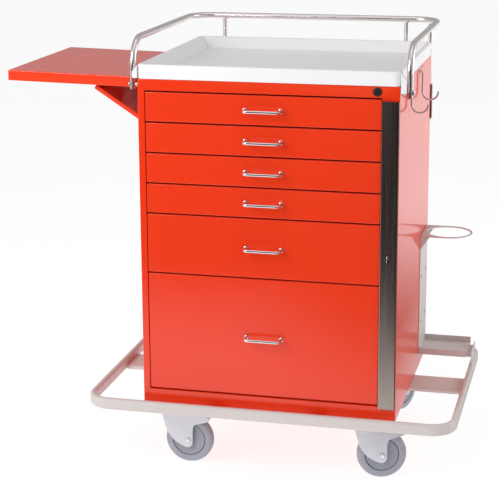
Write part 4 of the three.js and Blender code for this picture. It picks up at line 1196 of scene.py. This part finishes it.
def floorAndLight():
    values = {"reach": 40.0, "floorGlow": 0.80, "dome": 0.44, "backdrop": 0.97}
    reach = values["reach"]
    floor = newObject("studioFloor", newMesh("studioFloor", [(-reach, -reach, 0), (reach, -reach, 0),
                                                             (reach, reach, 0), (-reach, reach, 0)],
                                             [(0, 1, 2, 3)]))
    pale = Finish("paleFloor")
    pale.set(Roughness=0.75, Specular_IOR_Level=0.1, Emission_Color=(1, 1, 1, 1),
             Emission_Strength=values["floorGlow"])
    pale.link(pale.blend(pale.noise(3.0, 2.0), (0.30, 0.31, 0.315, 1), (0.32, 0.325, 0.33, 1)), "Base Color")
    floor.data.materials.append(pale.material)

    world = bpy.data.worlds.new("studioWorld")
    bpy.context.scene.world = world
    world.use_nodes = True
    studio = world.node_tree
    dome = studio.nodes["Background"]
    dome.inputs["Color"].default_value = (1.0, 0.99, 0.985, 1)
    dome.inputs["Strength"].default_value = values["dome"]
    # the dome is dimmer as a light than as a pale backdrop
    backdrop = addNode(studio, "ShaderNodeBackground", {"Color": (1.0, 1.0, 1.0, 1),
                                                        "Strength": values["backdrop"]})
    cameraRay = addNode(studio, "ShaderNodeLightPath").outputs["Is Camera Ray"]
    seen = addNode(studio, "ShaderNodeMixShader", {0: cameraRay, 1: dome.outputs[0], 2: backdrop.outputs[0]})
    studio.links.new(seen.outputs[0], studio.nodes["World Output"].inputs["Surface"])

    lights = {
        "keySoftbox": {"at": (-1.65, -2.2, 2.0), "aim": (-0.15, 0, 0.7), "size": 1.5, "power": 44},
        "topSoftbox": {"at": (0.2, -0.6, 3.6), "aim": (0.1, 0, 0.9), "size": 2.6, "power": 12},
        "sideSoftbox": {"at": (2.6, 0.9, 1.4), "aim": (0.5, 0.1, 0.4), "size": 1.4, "power": 22},
    }
    for name, lamps in lights.items():
        light = bpy.data.lights.new(name, "AREA")
        light.shape = "SQUARE"
        light.size = lamps["size"]
        light.energy = lamps["power"]
        lamp = newObject(name, light)
        lamp.location = lamps["at"]
        direction = Vector(lamps["aim"]) - lamp.location
        lamp.rotation_euler = direction.to_track_quat("-Z", "Y").to_euler()
    darkCard()


def darkCard():
    # the unlit side of the studio: a floor and a wall that only show in reflections
    values = {"near": 4.2, "far": -9.0, "left": -7.0, "right": 7.0, "lift": 0.004, "wall": 5.0}
    x0, x1, near, far = values["left"], values["right"], values["near"], values["far"]
    lift, wall = values["lift"], values["wall"]
    corners = [(x0, far, lift), (x1, far, lift), (x1, near, lift), (x0, near, lift), (x0, far, wall),
               (x1, far, wall)]
    card = newObject("darkCard", newMesh("darkCard", corners, [(0, 1, 2, 3), (1, 0, 4, 5)]))
    cloth = bpy.data.materials.new("darkCloth")
    cloth.use_nodes = True
    tree = cloth.node_tree
    tree.nodes.clear()

    def node(kind, inputs=None, **settings):
        return addNode(tree, kind, inputs, **settings)

    spot = node("ShaderNodeSeparateXYZ", {0: node("ShaderNodeTexCoord").outputs["Object"]})
    # the card comes nearer to the cart on its right side
    start = node("ShaderNodeMapRange", {"Value": spot.outputs["X"], "From Min": -0.25, "From Max": 0.25,
                                        "To Min": -1.05, "To Max": -0.5}).outputs[0]
    depth = node("ShaderNodeMath", {0: start, 1: spot.outputs["Y"]}, operation="SUBTRACT").outputs[0]
    front = node("ShaderNodeMapRange", {"Value": depth, "From Min": 0.0, "From Max": 1.25},
                 interpolation_type="SMOOTHSTEP")
    # and a patch behind the cart's right side fades out towards the back
    patch = node("ShaderNodeMapRange", {"Value": spot.outputs["Y"], "From Min": 0.6, "From Max": 2.9,
                                        "To Min": 0.9, "To Max": 0.0}, interpolation_type="SMOOTHSTEP")
    beside = node("ShaderNodeMapRange", {"Value": spot.outputs["X"], "From Min": 0.45, "From Max": 0.6})
    behind = node("ShaderNodeMath", {0: patch.outputs[0], 1: beside.outputs[0]}, operation="MULTIPLY")
    cover = node("ShaderNodeMath", {0: front.outputs[0], 1: behind.outputs[0]}, operation="MAXIMUM")
    clear = node("ShaderNodeBsdfTransparent").outputs[0]
    dark = node("ShaderNodeBsdfDiffuse", {"Color": (0.03, 0.02, 0.018, 1)}).outputs[0]
    mix = node("ShaderNodeMixShader", {0: cover.outputs[0], 1: clear, 2: dark})
    node("ShaderNodeOutputMaterial", {0: mix.outputs[0]})
    card.data.materials.append(cloth)
    card.visible_camera = False
    card.visible_diffuse = False
    card.visible_shadow = False


def camera():
    values = {"at": (0.931, -3.822, 1.564), "yaw": -13.847, "pitch": 13.17, "roll": -0.328, "lens": 110.8,
              "shift": (0.0, -0.099)}
    data = bpy.data.cameras.new("camera")
    data.sensor_fit = "VERTICAL"
    data.sensor_height = 36
    data.lens = values["lens"]
    data.shift_x, data.shift_y = values["shift"]
    data.clip_end = 200
    holder = newObject("camera", data)
    yaw, pitch = math.radians(values["yaw"]), math.radians(values["pitch"])
    look = Vector((math.sin(yaw) * math.cos(pitch), math.cos(yaw) * math.cos(pitch), -math.sin(pitch)))
    turn = look.to_track_quat("-Z", "Y").to_matrix().to_4x4()
    holder.matrix_world = (Matrix.Translation(values["at"]) @ turn
                           @ Matrix.Rotation(math.radians(values["roll"]), 4, "Z"))
    bpy.context.scene.camera = holder


floorAndLight()
camera()
bpy.context.scene.view_settings.view_transform = "Standard"
print("stage, light and camera made")
